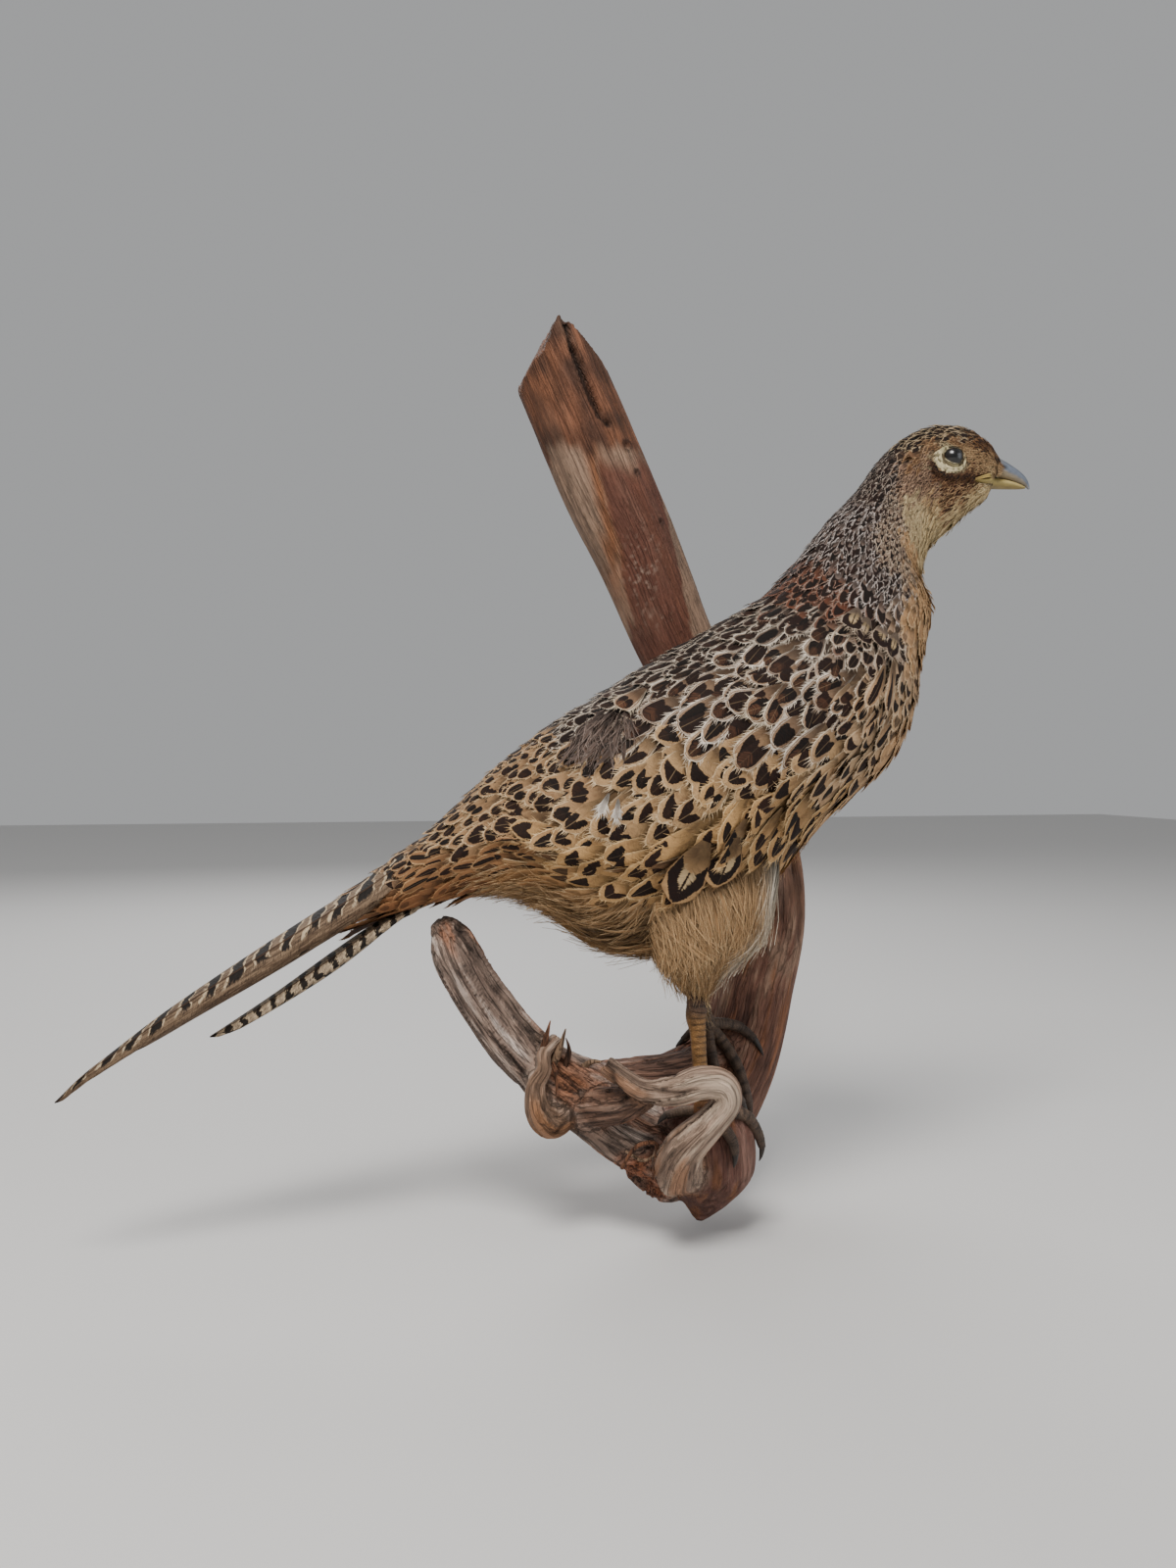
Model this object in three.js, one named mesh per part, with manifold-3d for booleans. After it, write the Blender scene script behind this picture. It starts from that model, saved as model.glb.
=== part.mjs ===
// A mounted hen pheasant standing on a piece of driftwood that hangs on a wall.
// Millimetres, +Z up. The wall is the plane Y = 0 and the origin is on the flat at the back of the
// wood. The bird stands on the -Y side of it, faces +X, and its middle plane is Y = BIRD_Y.

import * as THREE from "three";
import { mergeVertices } from "three/addons/utils/BufferGeometryUtils.js";
import Module from "manifold-3d";

const wasm = await Module();
wasm.setup();

// ---------------------------------------------------------------- driving dimensions
const BIRD_Y = -120; // middle plane of the bird, from the wall
const GAP = 0.3; // clearance between neighbouring pieces
const BODY_SIDES = 26; // facets round the body
const EYE_RADIUS = 5.6;
const EYE_CENTRE = [139, 11.2, 35]; // X, distance from the middle plane, Z
const WING_THICK_FRONT = 7; // folded wing at the shoulder
const WING_THICK_TIP = 3; // folded wing at the tips of the primaries
const WING_REACH = 90; // how far out from the middle plane the wing's outline is carried
const WING_INNER = 5; // the wing stays this far from the middle plane

// Cuts across the body from the bill to the root of the tail: the upper edge and the lower edge
// in the middle plane, and the half width. They run out to the tips of the feathers.
const BODY = [
  { top: [169.5, 40], bottom: [165, 22], half: 7.5 }, // root of the bill
  { top: [161, 48.5], bottom: [162, 15.5], half: 11.5 }, // forehead and chin
  { top: [149, 54], bottom: [153, 9], half: 14.5 }, // crown
  { top: [131, 53.5], bottom: [143.5, 0], half: 16 }, // behind the eye
  { top: [114, 45], bottom: [133, -9], half: 16 }, // back of the head
  { top: [101, 32], bottom: [129, -18], half: 17 },
  { top: [89, 17], bottom: [129, -28], half: 20 }, // middle of the neck
  { top: [75, 3.5], bottom: [131, -38], half: 25 },
  { top: [60, -15], bottom: [129.5, -50], half: 32 }, // foot of the neck
  { top: [43, -33], bottom: [125, -70], half: 39 },
  { top: [21, -46], bottom: [121, -94], half: 45 }, // breast
  { top: [-2, -59], bottom: [109, -120], half: 49 },
  { top: [-23, -71], bottom: [87.5, -140], half: 51 }, // widest place
  { top: [-46, -85], bottom: [60, -165], half: 51 },
  { top: [-63, -95], bottom: [33, -193], half: 48 }, // belly in front of the legs
  { top: [-80, -108], bottom: [-2, -211], half: 44 },
  { top: [-96, -121.5], bottom: [-37, -209], half: 38 }, // vent
  { top: [-111, -136], bottom: [-66, -190], half: 32 },
  { top: [-123, -149.5], bottom: [-94, -184], half: 26 }, // rump
  { top: [-135, -158.5], bottom: [-116, -186], half: 21 },
  { top: [-146, -167], bottom: [-136, -191], half: 17 }, // root of the tail
];
// Where the body is parted, in stations, and how many rings of facets each piece has.
const PIECES = {
  head: { from: 0, to: 4.4, steps: 10 },
  neck: { from: 4.4, to: 8, steps: 7 },
  trunk: { from: 8, to: 16.5, steps: 17 },
  rump: { from: 16.5, to: 20, steps: 7 },
};
const PARTING = 0.012; // width of the cut between two pieces, in stations
const SQUARENESS = 0.92; // 1 makes each cut an ellipse, less makes its sides fuller

// The tail as two stacks of feathers: the long upper one, and the short outer feathers under it.
const TAIL_UPPER = [
  { top: [-146.5, -167.5], bottom: [-138, -188], half: 16.5 },
  { top: [-158, -176], bottom: [-151, -193], half: 21 },
  { top: [-199, -201], bottom: [-190, -216], half: 23 },
  { top: [-242, -230], bottom: [-235, -241], half: 16 },
  { top: [-267, -249], bottom: [-262, -256], half: 10 },
  { top: [-280, -259], bottom: [-276, -264], half: 7 },
  { top: [-291, -271], bottom: [-289, -273], half: 2.5 },
];
const TAIL_LOWER = [
  { top: [-138.5, -189], bottom: [-136.8, -193], half: 12 },
  { top: [-151, -195.5], bottom: [-147, -202], half: 18 },
  { top: [-172, -209], bottom: [-167, -217.5], half: 21 },
  { top: [-196, -226], bottom: [-192, -233], half: 17 },
  { top: [-213, -237], bottom: [-210, -243], half: 10 },
  { top: [-224, -244.5], bottom: [-223, -246.5], half: 2 },
];

// Outline of the folded wing, seen from the side: shoulder, lower edge, tip, upper edge.
const WING = [
  [84, -50], [93, -74], [88, -98], [70, -122], [31, -147], [-12, -163], [-56, -171], [-92, -176],
  [-122, -176], [-104, -160], [-80, -135], [-52, -110], [-18, -86], [22, -66], [58, -47],
];

// The feathered thighs: front edge, back edge and half width, and the distance of each cut from
// the middle plane.
const THIGH = [
  { top: [42, -176], bottom: [-22, -186], half: 15, side: 24 },
  { top: [34, -204], bottom: [-15, -208], half: 14, side: 24 },
  { top: [18, -218], bottom: [-9, -219], half: 10.5, side: 24 },
  { top: [8, -228], bottom: [-1, -229], half: 5.5, side: 25 },
];
const LEFT_THIGH_SHIFT = [12, 9]; // the left leg is drawn up and steps forward

// The horn of the bill: upper edge, lower edge and half width.
const BILL_UPPER = [
  { top: [169.9, 38.9], bottom: [167.3, 28.4], half: 5.4 },
  { top: [174, 38.8], bottom: [171.5, 28.5], half: 5.2 },
  { top: [178, 37], bottom: [176, 28.4], half: 4.6 },
  { top: [183, 33], bottom: [181.5, 27.4], half: 3.5 },
  { top: [186.2, 28.4], bottom: [184.6, 25.8], half: 2 },
  { top: [188, 24.4], bottom: [187.2, 23.8], half: 0.7 },
];
const BILL_LOWER = [
  { top: [167.1, 27.8], bottom: [165.6, 22.6], half: 4.8 },
  { top: [171, 28], bottom: [170.5, 22.4], half: 4.4 },
  { top: [178, 27.2], bottom: [178, 22.6], half: 3.4 },
  { top: [183, 25.9], bottom: [183.2, 23.4], half: 1.9 },
  { top: [185, 24.9], bottom: [185.1, 24.1], half: 0.8 },
];

// Legs and toes as rods: X, Y, Z and radius at each bend.
const TARSUS_RIGHT = [
  [0.5, -145, -226, 4.8], [1, -145, -234, 4.6], [0.8, -145, -240, 5], [1.8, -145.5, -249, 4],
  [2.5, -147, -269, 3.8], [3, -148, -283, 4.4],
];
const TARSUS_LEFT = [
  [15, -95, -222, 4.8], [17, -95, -228, 4.8], [19, -92, -240, 4], [22, -88.5, -252, 4.2],
];
const TOES_RIGHT = {
  pad: [[3, -148, -282, 4.2], [4, -148, -287, 4.8], [5, -147, -292, 3]],
  middle: [[4, -148, -287, 4], [14, -146, -286, 3.3], [26, -142, -290, 3], [33, -139, -299, 2.6],
    [37, -137, -307, 1.8], [35.5, -137, -314, 0.6]],
  inner: [[4, -147, -287, 3.6], [13, -138, -284, 3], [22, -130, -284, 2.8], [30, -124, -289, 2.2],
    [35, -121, -297, 0.6]],
  outer: [[4, -148, -287, 3.6], [10, -152, -290, 3], [16, -152, -297, 2.7], [18.5, -151, -305, 2],
    [18, -150, -312, 0.6]],
  hind: [[3, -147, -285, 3], [-5, -143, -285.5, 2.5], [-12, -139, -288, 2], [-16, -137, -293, 0.6]],
};
const TOES_LEFT = {
  pad: [[22, -88.5, -251.5, 4.2], [24, -87, -257, 4.8], [25, -87, -262, 3]],
  middle: [[24, -87.5, -257, 4], [32, -89, -266, 3.3], [39, -92, -280, 3], [42, -95, -293, 2.5],
    [43, -97, -301, 1.6], [42, -98, -307, 0.6]],
  inner: [[24, -87.5, -257, 3.6], [24, -93, -266, 3], [25, -98, -276, 2.6], [26, -102, -284, 1.8],
    [26, -104, -290, 0.6]],
  outer: [[24, -87, -257, 3.6], [33, -84, -257, 3], [44, -80, -261, 2.8], [52, -77, -269, 2.2],
    [57, -75, -280, 0.6]],
  hind: [[24, -86, -255, 3], [19, -80, -261, 2.5], [15, -76, -267, 2], [13, -74, -273, 0.6]],
};

// The driftwood as rods grown together: X, Y, Z and radius at each bend, and how deeply the rod is
// fluted.
const WOOD = {
  stem: { sides: 16, perBend: 1, flute: 0.03, path: [
    [-58, -22, 132, 25], [-37, -22, 85, 25.5], [-16.5, -21, 34, 24], [4, -20.5, -6, 23],
    [24.5, -20, -48, 21.5], [45, -20, -92, 20], [66, -22, -138, 19], [80, -26, -177, 18.5],
    [78, -34, -214, 19.5], [62, -46, -246, 24], [51, -57, -270, 25], [39, -69, -289, 25],
    [25, -82, -304, 24], [12, -97, -316, 21]] },
  burl: { sides: 14, perBend: 1, flute: 0.04, path: [
    [7, -126, -281, 5], [8, -127, -286, 16], [9, -127, -294, 22], [10.5, -127, -306, 24],
    [11.5, -126, -320, 23], [11, -124, -334, 13], [9.5, -122, -346, 2.5]] },
  heel: { sides: 12, perBend: 1, flute: 0.05, path: [
    [26, -88, -300, 20], [12, -106, -310, 22], [-6, -120, -314, 22], [-17, -130, -316, 16]] },
  bridge: { sides: 10, perBend: 1, flute: 0.05, path: [
    [48, -64, -276, 18], [26, -78, -281, 16.5], [4, -92, -283, 14.5], [-19, -103, -281, 13.5],
    [-38, -110, -278, 11], [-50, -114, -276, 8]] },
  branch: { sides: 14, perBend: 1, flute: 0.1, path: [
    [-119.5, -122, -193.5, 4.5], [-115, -122, -200, 9], [-110, -121, -211.5, 11],
    [-100.5, -120, -228.5, 11.6], [-84, -118, -252, 12.8], [-67, -117, -269, 14.5],
    [-46, -116, -284, 18], [-24, -118, -299, 20], [0, -120, -309, 20], [10, -122, -312, 15]] },
  loop: { sides: 8, perBend: 2, flute: 0.06, path: [
    [-44, -147, -260, 4.6], [-36, -153, -266, 5], [-27, -160, -270.5, 5.6], [-15, -166, -269, 7],
    [-4, -168.5, -265.5, 7.5], [5.5, -168.5, -267, 7.2], [8.5, -168, -275, 7], [1, -166, -285, 7.5],
    [-9, -161, -297, 9.5], [-10, -152, -308, 12], [-6, -140, -313, 14]] },
  prop: { sides: 8, perBend: 1, flute: 0.05, path: [
    [-47, -128, -285, 10], [-34, -143, -280, 8.5], [-27, -154, -274, 6.5], [-24, -160, -271, 4]] },
  root: { sides: 8, perBend: 1, flute: 0, path: [
    [-63, -128, -251, 3.5], [-70, -131.5, -257, 3.4], [-70.5, -133.5, -264.5, 3.6],
    [-75, -133, -272, 3.8], [-75, -132, -286, 4.3], [-68, -128, -293, 6.5],
    [-59, -124, -289, 6]] },
};
const WOOD_BACK = 0; // the wood is planed flat here, against the wall
// The broken upper end: a point on each face of the break and the way that the face looks.
const BREAKS = [
  { point: [-65, 0, 86], facing: [-0.89, 0, 0.45] },
  { point: [-22, 0, 104], facing: [0.66, 0, 0.75] },
];

const FEATHER = { colour: 0xa88a66, roughness: 0.85 };
const MATERIALS = {
  head: FEATHER,
  neck: { colour: 0x8d7a64, roughness: 0.85 },
  trunk: FEATHER,
  rump: { colour: 0x9c8160, roughness: 0.85 },
  wing: { colour: 0x9a7f60, roughness: 0.8 },
  tail: { colour: 0x85684a, roughness: 0.75 },
  thigh: { colour: 0xb29467, roughness: 0.9 },
  bill: { colour: 0x6a6a6c, roughness: 0.35 },
  billLower: { colour: 0xa08a62, roughness: 0.4 },
  leg: { colour: 0x7a6038, roughness: 0.55 },
  foot: { colour: 0x4a3d30, roughness: 0.55 },
  eye: { colour: 0x141012, roughness: 0.05 },
  wood: { colour: 0x8a5f45, roughness: 0.85 },
};

// ---------------------------------------------------------------- shapes

// Catmull-Rom blend of a list of equally long number rows at the place t, counted in rows.
function blend(rows, t) {
  const i = Math.min(Math.floor(t), rows.length - 2);
  const f = t - i;
  const at = (k) => rows[Math.max(0, Math.min(rows.length - 1, k))];
  const [a, b, c, d] = [at(i - 1), at(i), at(i + 1), at(i + 2)];
  return b.map((v, n) => v + 0.5 * f * (c[n] - a[n]
    + f * (2 * a[n] - 5 * v + 4 * c[n] - d[n] + f * (3 * (v - c[n]) + d[n] - a[n]))));
}

// A closed solid through rings that all have the same number of points, its ends capped flat.
function skinOver(rings) {
  const sides = rings[0].length;
  const centre = (ring) => ring.reduce((s, p) => s.add(p), new THREE.Vector3()).divideScalar(sides);
  const points = [...rings.flat(), centre(rings[0]), centre(rings.at(-1))];
  const [first, last] = [points.length - 2, points.length - 1];
  const end = (rings.length - 1) * sides;
  const index = [];
  for (let k = 0; k < sides; k++) {
    const n = (k + 1) % sides;
    for (let r = 0; r < end; r += sides) {
      index.push(r + k, r + n, r + sides + n, r + k, r + sides + n, r + sides + k);
    }
    index.push(first, n, k, last, end + k, end + n);
  }
  const geometry = new THREE.BufferGeometry().setFromPoints(points);
  geometry.setIndex(index);
  return facingOut(geometry);
}

// Turns the triangles round where the solid came out inside out.
function facingOut(geometry) {
  const [a, b, c] = [0, 1, 2].map(() => new THREE.Vector3());
  const place = geometry.getAttribute("position");
  const index = geometry.getIndex().array;
  let volume = 0;
  for (let i = 0; i < index.length; i += 3) {
    [a, b, c].forEach((v, k) => v.fromBufferAttribute(place, index[i + k]));
    volume += a.dot(b.cross(c));
  }
  if (volume < 0) geometry.setIndex(Array.from(index).reverse());
  return geometry;
}

// A body of oval cuts. "grow" moves the surface outwards, "widen" adds to the half width alone.
function loft(stations, { from = 0, to = stations.length - 1, steps, sides, grow = 0,
  widen = () => 0, middle = BIRD_Y } = {}) {
  const rows = stations.map((s) => [...s.top, ...s.bottom, s.half, s.side ?? 0]);
  const rings = [];
  for (let i = 0; i <= steps; i++) {
    const t = from + ((to - from) * i) / steps;
    const [tx, tz, bx, bz, half, side] = blend(rows, t);
    const up = new THREE.Vector2(tx - bx, tz - bz).multiplyScalar(0.5);
    up.multiplyScalar(1 + grow / up.length());
    const wide = half + grow + widen(t);
    rings.push(Array.from({ length: sides }, (_, k) => {
      const a = (2 * Math.PI * (k + 0.5)) / sides;
      const out = Math.sign(Math.cos(a)) * Math.abs(Math.cos(a)) ** SQUARENESS;
      return new THREE.Vector3((tx + bx) / 2 + up.x * Math.sin(a), middle - side + wide * out,
        (tz + bz) / 2 + up.y * Math.sin(a));
    }));
  }
  return skinOver(rings);
}

// A rod along a smooth line through the bends, each with its own radius.
function rod(path, { sides, perBend, flute = 0, grow = 0 }) {
  const line = new THREE.CatmullRomCurve3(path.map(([x, y, z]) => new THREE.Vector3(x, y, z)));
  const steps = (path.length - 1) * perBend;
  const radii = path.map((p) => [p[3]]);
  const forward = new THREE.Vector3();
  let across = new THREE.Vector3(0.2, 1, 0.1);
  const rings = [];
  for (let i = 0; i <= steps; i++) {
    const u = i / steps;
    const middle = line.getPoint(u);
    line.getTangent(u, forward);
    across = across.clone().addScaledVector(forward, -across.dot(forward)).normalize();
    const third = new THREE.Vector3().crossVectors(forward, across);
    const radius = blend(radii, u * (path.length - 1))[0] + grow;
    rings.push(Array.from({ length: sides }, (_, k) => {
      const a = (2 * Math.PI * k) / sides;
      const r = radius * (1 + flute * (Math.cos(3 * a + 2 * u) + 0.6 * Math.cos(5 * a - 7 * u)));
      return middle.clone().addScaledVector(across, r * Math.cos(a)).addScaledVector(third,
        r * Math.sin(a));
    }));
  }
  return skinOver(rings);
}

// ---------------------------------------------------------------- cutting and joining

function toSolid(geometry) {
  const bare = geometry.clone();
  bare.deleteAttribute("normal");
  bare.deleteAttribute("uv");
  const merged = mergeVertices(bare, 1e-4);
  return new wasm.Manifold(new wasm.Mesh({ numProp: 3,
    vertProperties: new Float32Array(merged.getAttribute("position").array),
    triVerts: new Uint32Array(merged.getIndex().array) }));
}

function toGeometry(solid) {
  const mesh = solid.getMesh();
  const geometry = new THREE.BufferGeometry();
  geometry.setAttribute("position", new THREE.BufferAttribute(mesh.vertProperties, 3));
  geometry.setIndex(new THREE.BufferAttribute(mesh.triVerts, 1));
  return geometry;
}

// A block that fills the space on the far side of a plane.
function beyond(point, facing) {
  const size = 600;
  const way = new THREE.Vector3(...facing).normalize();
  const block = new THREE.BoxGeometry(size, size, size);
  block.translate(0, 0, size / 2);
  block.applyQuaternion(new THREE.Quaternion().setFromUnitVectors(new THREE.Vector3(0, 0, 1), way));
  block.translate(...point);
  return toSolid(block);
}

// The largest body of a solid, without the crumbs that a cut can leave.
function mainBody(solid) {
  return solid.decompose().reduce((a, b) => (b.volume() > a.volume() ? b : a));
}

function joined(geometries) {
  return geometries.map(toSolid).reduce((all, one) => all.add(one));
}

// ---------------------------------------------------------------- the bird

// One piece of the body, parted from the next by a thin cut.
function bodyPiece(name) {
  const { from, to, steps } = PIECES[name];
  return loft(BODY, { from, to: to - PARTING, steps, sides: BODY_SIDES });
}

// The body from the neck to the tail, made a little larger, to cut its neighbours with.
function cutByBody(solid) {
  return ["neck", "trunk", "rump"].reduce((rest, name) => rest.subtract(toSolid(
    loft(BODY, { ...PIECES[name], sides: BODY_SIDES, grow: GAP }))), solid);
}

function eyeBall(sideSign, grow = 0) {
  const ball = new THREE.SphereGeometry(EYE_RADIUS + grow, 14, 8);
  return ball.translate(EYE_CENTRE[0], BIRD_Y + sideSign * EYE_CENTRE[1], EYE_CENTRE[2]);
}

// The head, with a socket for each eye.
function head() {
  const solid = toSolid(bodyPiece("head"));
  return [-1, 1].reduce((rest, sign) => rest.subtract(toSolid(eyeBall(sign, GAP))), solid);
}

// A folded wing: the space between the body and a wider body, inside the wing's outline.
function wing(sideSign) {
  const last = BODY.length - 1;
  const thickness = (t) => WING_THICK_FRONT + ((WING_THICK_TIP - WING_THICK_FRONT) * t) / last;
  const edge = new THREE.CatmullRomCurve3(WING.map(([x, z]) => new THREE.Vector3(x, z, 0)), true);
  const outline = new THREE.Shape(edge.getSpacedPoints(34).map((p) => new THREE.Vector2(p.x, p.y)));
  const block = new THREE.ExtrudeGeometry(outline, { depth: WING_REACH, bevelEnabled: false });
  block.rotateX(Math.PI / 2);
  block.translate(0, sideSign > 0 ? BIRD_Y + WING_INNER + WING_REACH : BIRD_Y - WING_INNER, 0);
  const outer = toSolid(loft(BODY, { from: 6, steps: 24, sides: BODY_SIDES, widen: thickness }));
  return mainBody(cutByBody(outer.intersect(toSolid(block))));
}

function tail(stations) {
  return loft(stations, { steps: (stations.length - 1) * 2, sides: 16 });
}

// The feathers of one leg down to the hock.
function legFeathers(sideSign, grow = 0) {
  const [dx, dz] = sideSign > 0 ? LEFT_THIGH_SHIFT : [0, 0];
  const stations = THIGH.map((s) => ({ half: s.half, side: -sideSign * s.side,
    top: [s.top[0] + dx, s.top[1] + dz], bottom: [s.bottom[0] + dx, s.bottom[1] + dz] }));
  return toSolid(loft(stations, { steps: 9, sides: 16, grow }));
}

// The bare leg from the feathers down to the toes.
function tarsus(sideSign, path, toes) {
  const bare = toSolid(rod(path, { sides: 10, perBend: 1 })).subtract(foot(toes, GAP));
  return mainBody(bare.subtract(legFeathers(sideSign, GAP)));
}

function foot(toes, grow = 0) {
  return joined(Object.values(toes).map((path) => rod(path, { sides: 6, perBend: 1, grow })));
}

// ---------------------------------------------------------------- the driftwood

function driftwood() {
  const rods = Object.values(WOOD).map(({ path, ...look }) => rod(path, look));
  let wood = joined(rods).subtract(beyond([0, WOOD_BACK, 0], [0, 1, 0]));
  for (const { point, facing } of BREAKS) wood = wood.subtract(beyond(point, facing));
  for (const toes of [TOES_RIGHT, TOES_LEFT]) wood = wood.subtract(foot(toes, GAP));
  return wood;
}

// ---------------------------------------------------------------- the whole

function billPiece(stations) {
  return loft(stations, { steps: (stations.length - 1) * 2, sides: 12 });
}

const whole = new THREE.Group();

function put(name, shape, look) {
  const geometry = shape instanceof THREE.BufferGeometry ? shape : toGeometry(shape);
  const { colour, roughness } = MATERIALS[look];
  const material = new THREE.MeshStandardMaterial({ color: colour, roughness, metalness: 0 });
  const mesh = new THREE.Mesh(geometry, material);
  mesh.name = name;
  whole.add(mesh);
}

put("head", head(), "head");
for (const name of ["neck", "trunk", "rump"]) put(name, bodyPiece(name), name);
put("tail_upper", tail(TAIL_UPPER), "tail");
put("tail_lower", tail(TAIL_LOWER), "tail");
put("bill_upper", billPiece(BILL_UPPER), "bill");
put("bill_lower", billPiece(BILL_LOWER), "billLower");
for (const [side, sign] of [["right", -1], ["left", 1]]) {
  put(`eye_${side}`, eyeBall(sign), "eye");
  put(`wing_${side}`, wing(sign), "wing");
  put(`thigh_${side}`, cutByBody(legFeathers(sign)), "thigh");
}
put("tarsus_right", tarsus(-1, TARSUS_RIGHT, TOES_RIGHT), "leg");
put("tarsus_left", tarsus(1, TARSUS_LEFT, TOES_LEFT), "leg");
put("foot_right", foot(TOES_RIGHT), "foot");
put("foot_left", foot(TOES_LEFT), "foot");
put("driftwood", driftwood(), "wood");

export default whole;
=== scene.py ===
import itertools
import math

import bpy
import numpy as np
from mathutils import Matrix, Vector


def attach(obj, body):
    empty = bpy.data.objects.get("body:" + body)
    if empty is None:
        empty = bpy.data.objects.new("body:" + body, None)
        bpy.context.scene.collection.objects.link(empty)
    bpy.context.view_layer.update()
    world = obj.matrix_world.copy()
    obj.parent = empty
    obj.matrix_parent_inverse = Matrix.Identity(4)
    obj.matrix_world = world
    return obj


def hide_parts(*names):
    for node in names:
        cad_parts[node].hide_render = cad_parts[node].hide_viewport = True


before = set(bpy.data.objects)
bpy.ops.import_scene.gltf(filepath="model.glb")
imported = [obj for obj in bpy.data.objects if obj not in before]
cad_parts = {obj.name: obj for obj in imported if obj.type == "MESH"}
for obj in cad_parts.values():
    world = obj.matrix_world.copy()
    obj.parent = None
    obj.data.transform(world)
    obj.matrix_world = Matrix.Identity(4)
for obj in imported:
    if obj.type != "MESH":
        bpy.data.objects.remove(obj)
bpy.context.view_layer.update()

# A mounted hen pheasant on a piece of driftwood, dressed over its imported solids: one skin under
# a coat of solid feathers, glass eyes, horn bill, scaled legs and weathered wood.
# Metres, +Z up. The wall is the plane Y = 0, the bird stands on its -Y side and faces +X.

MM = .001
BIRD_Y = -120  # middle plane of the bird, in millimetres from the wall
FLOOR_Z = -.352  # the lowest level, in metres: the floor under the driftwood
SIDES = ((1, "right"), (-1, "left"))
SQUARENESS = .92  # 1 makes each cut of the body an ellipse, less makes its sides fuller


# --- camera and light
def placed(name, data):
    """A new object in the scene."""
    thing = bpy.data.objects.new(name, data)
    bpy.context.collection.objects.link(thing)
    return thing


def aim(thing, place, way):
    """Puts a camera or light at a place, to look along a way."""
    thing.location = place
    thing.rotation_mode = "QUATERNION"
    thing.rotation_quaternion = way.to_track_quat("-Z", "Y")


def stand_camera():
    """Looks 12 degrees round from square on, from the middle height of the bird's legs."""
    lens = bpy.data.cameras.new("camera")
    lens.lens, lens.sensor_width = 29.25, 36
    lens.clip_start, lens.clip_end = .02, 20
    camera = placed("camera", lens)
    aim(camera, (-.17527, -.72563, -.11644), Vector((.20787, .97793, -.02094)))
    bpy.context.scene.camera = camera


def soft_light(name, place, target, size, watts, warmth):
    """A square panel at one place that faces a target."""
    data = bpy.data.lights.new(name, "AREA")
    data.size, data.energy, data.color = size, watts, warmth
    aim(placed(name, data), place, Vector(target) - Vector(place))


stand_camera()
soft_light("key", (-.45, -1.0, 1.1), (0, -.1, -.1), .55, 31, (1.0, .975, .94))
soft_light("fill", (1.3, -1.0, .2), (0, -.1, -.1), 1.2, 8, (.93, .96, 1.0))
soft_light("back", (-.2, 1.3, .9), (0, -.1, -.1), 1.0, 14, (1.0, 1.0, 1.0))
world = bpy.data.worlds.new("studio")
world.use_nodes = True
world.node_tree.nodes["Background"].inputs["Color"].default_value = (.86, .87, .88, 1)
world.node_tree.nodes["Background"].inputs["Strength"].default_value = .45
bpy.context.scene.world = world


# --- numbers
def spline(rows, t):
    """Catmull-Rom blend of rows of numbers at t, counted in rows, and straight on past the ends."""
    rows, t = np.asarray(rows, float), np.asarray(t, float)
    last = len(rows) - 1
    inside = np.clip(t, 0, last)
    i = np.clip(np.floor(inside).astype(int), 0, last - 1)
    f = (inside - i)[..., None]
    a, b, c, d = (rows[np.clip(i + k, 0, last)] for k in (-1, 0, 1, 2))
    value = b + .5 * f * (c - a + f * (2 * a - 5 * b + 4 * c - d + f * (3 * (b - c) + d - a)))
    return value + (t - inside)[..., None] * (rows[np.clip(i + 1, 0, last)] - rows[i])


def joined(*columns):
    """Arrays side by side, as the columns of one array."""
    return np.stack(columns, -1)


def ramp(x, low, high):
    """0 below low, 1 above high, and an S-shaped rise between them."""
    f = np.clip((x - low) / (high - low), 0, 1)
    return f * f * (3 - 2 * f)


def along(table, x):
    """Reads a table of (place, value) pairs at x, straight between its entries."""
    places, values = zip(*table)
    return np.interp(x, places, values)


def unit(v):
    """Each row of numbers divided by its length."""
    return v / np.maximum(np.linalg.norm(v, axis=-1, keepdims=True), 1e-12)


def chance(cell, seed):
    """One random number from 0 to 1 for each row of whole numbers."""
    h = (cell[..., 0] * 374761393 + cell[..., 1] * 668265263 + cell[..., 2] * 1442695041
         + seed * 974634777) & 0xFFFFFFFF
    h = ((h ^ (h >> 13)) * 1274126177) & 0xFFFFFFFF
    return ((h ^ (h >> 16)) & 0xFFFF) / 65535


def lumps(points, size, seed=0):
    """A smooth random field from -1 to 1: random numbers on a cubic lattice, blended."""
    q = np.asarray(points) / size + 100.5
    cell = np.floor(q).astype(np.int64)
    f = q - cell
    f = f * f * (3 - 2 * f)
    total = 0
    for corner in itertools.product((0, 1), repeat=3):
        share = np.prod(np.where(np.array(corner, bool), f, 1 - f), axis=-1)
        total = total + share * chance(cell + np.array(corner), seed)
    return total * 2 - 1


def patches(x, y, size, seed):
    """A random field over two numbers."""
    return lumps(joined(x, y, 0 * x), size, seed)


def hue(code):
    """The linear red, green and blue of a six-figure colour code."""
    c = np.array([int(code[i:i + 2], 16) for i in (0, 2, 4)]) / 255
    return np.where(c > .04045, ((c + .055) / 1.055) ** 2.4, c / 12.92)


def over(below, above, amount):
    """Corner colours with another colour laid over them: below plus amount times the difference."""
    above = hue(above) if isinstance(above, str) else above
    return below + (above - below) * np.asarray(amount)[..., None]


def lit(code, light):
    """A colour at each corner, times a light of around 1."""
    return hue(code) * np.asarray(light)[..., None]


def carried(tone):
    """Corner colours as the four numbers of a field."""
    return np.concatenate([tone, np.ones((len(tone), 1))], 1)


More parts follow.
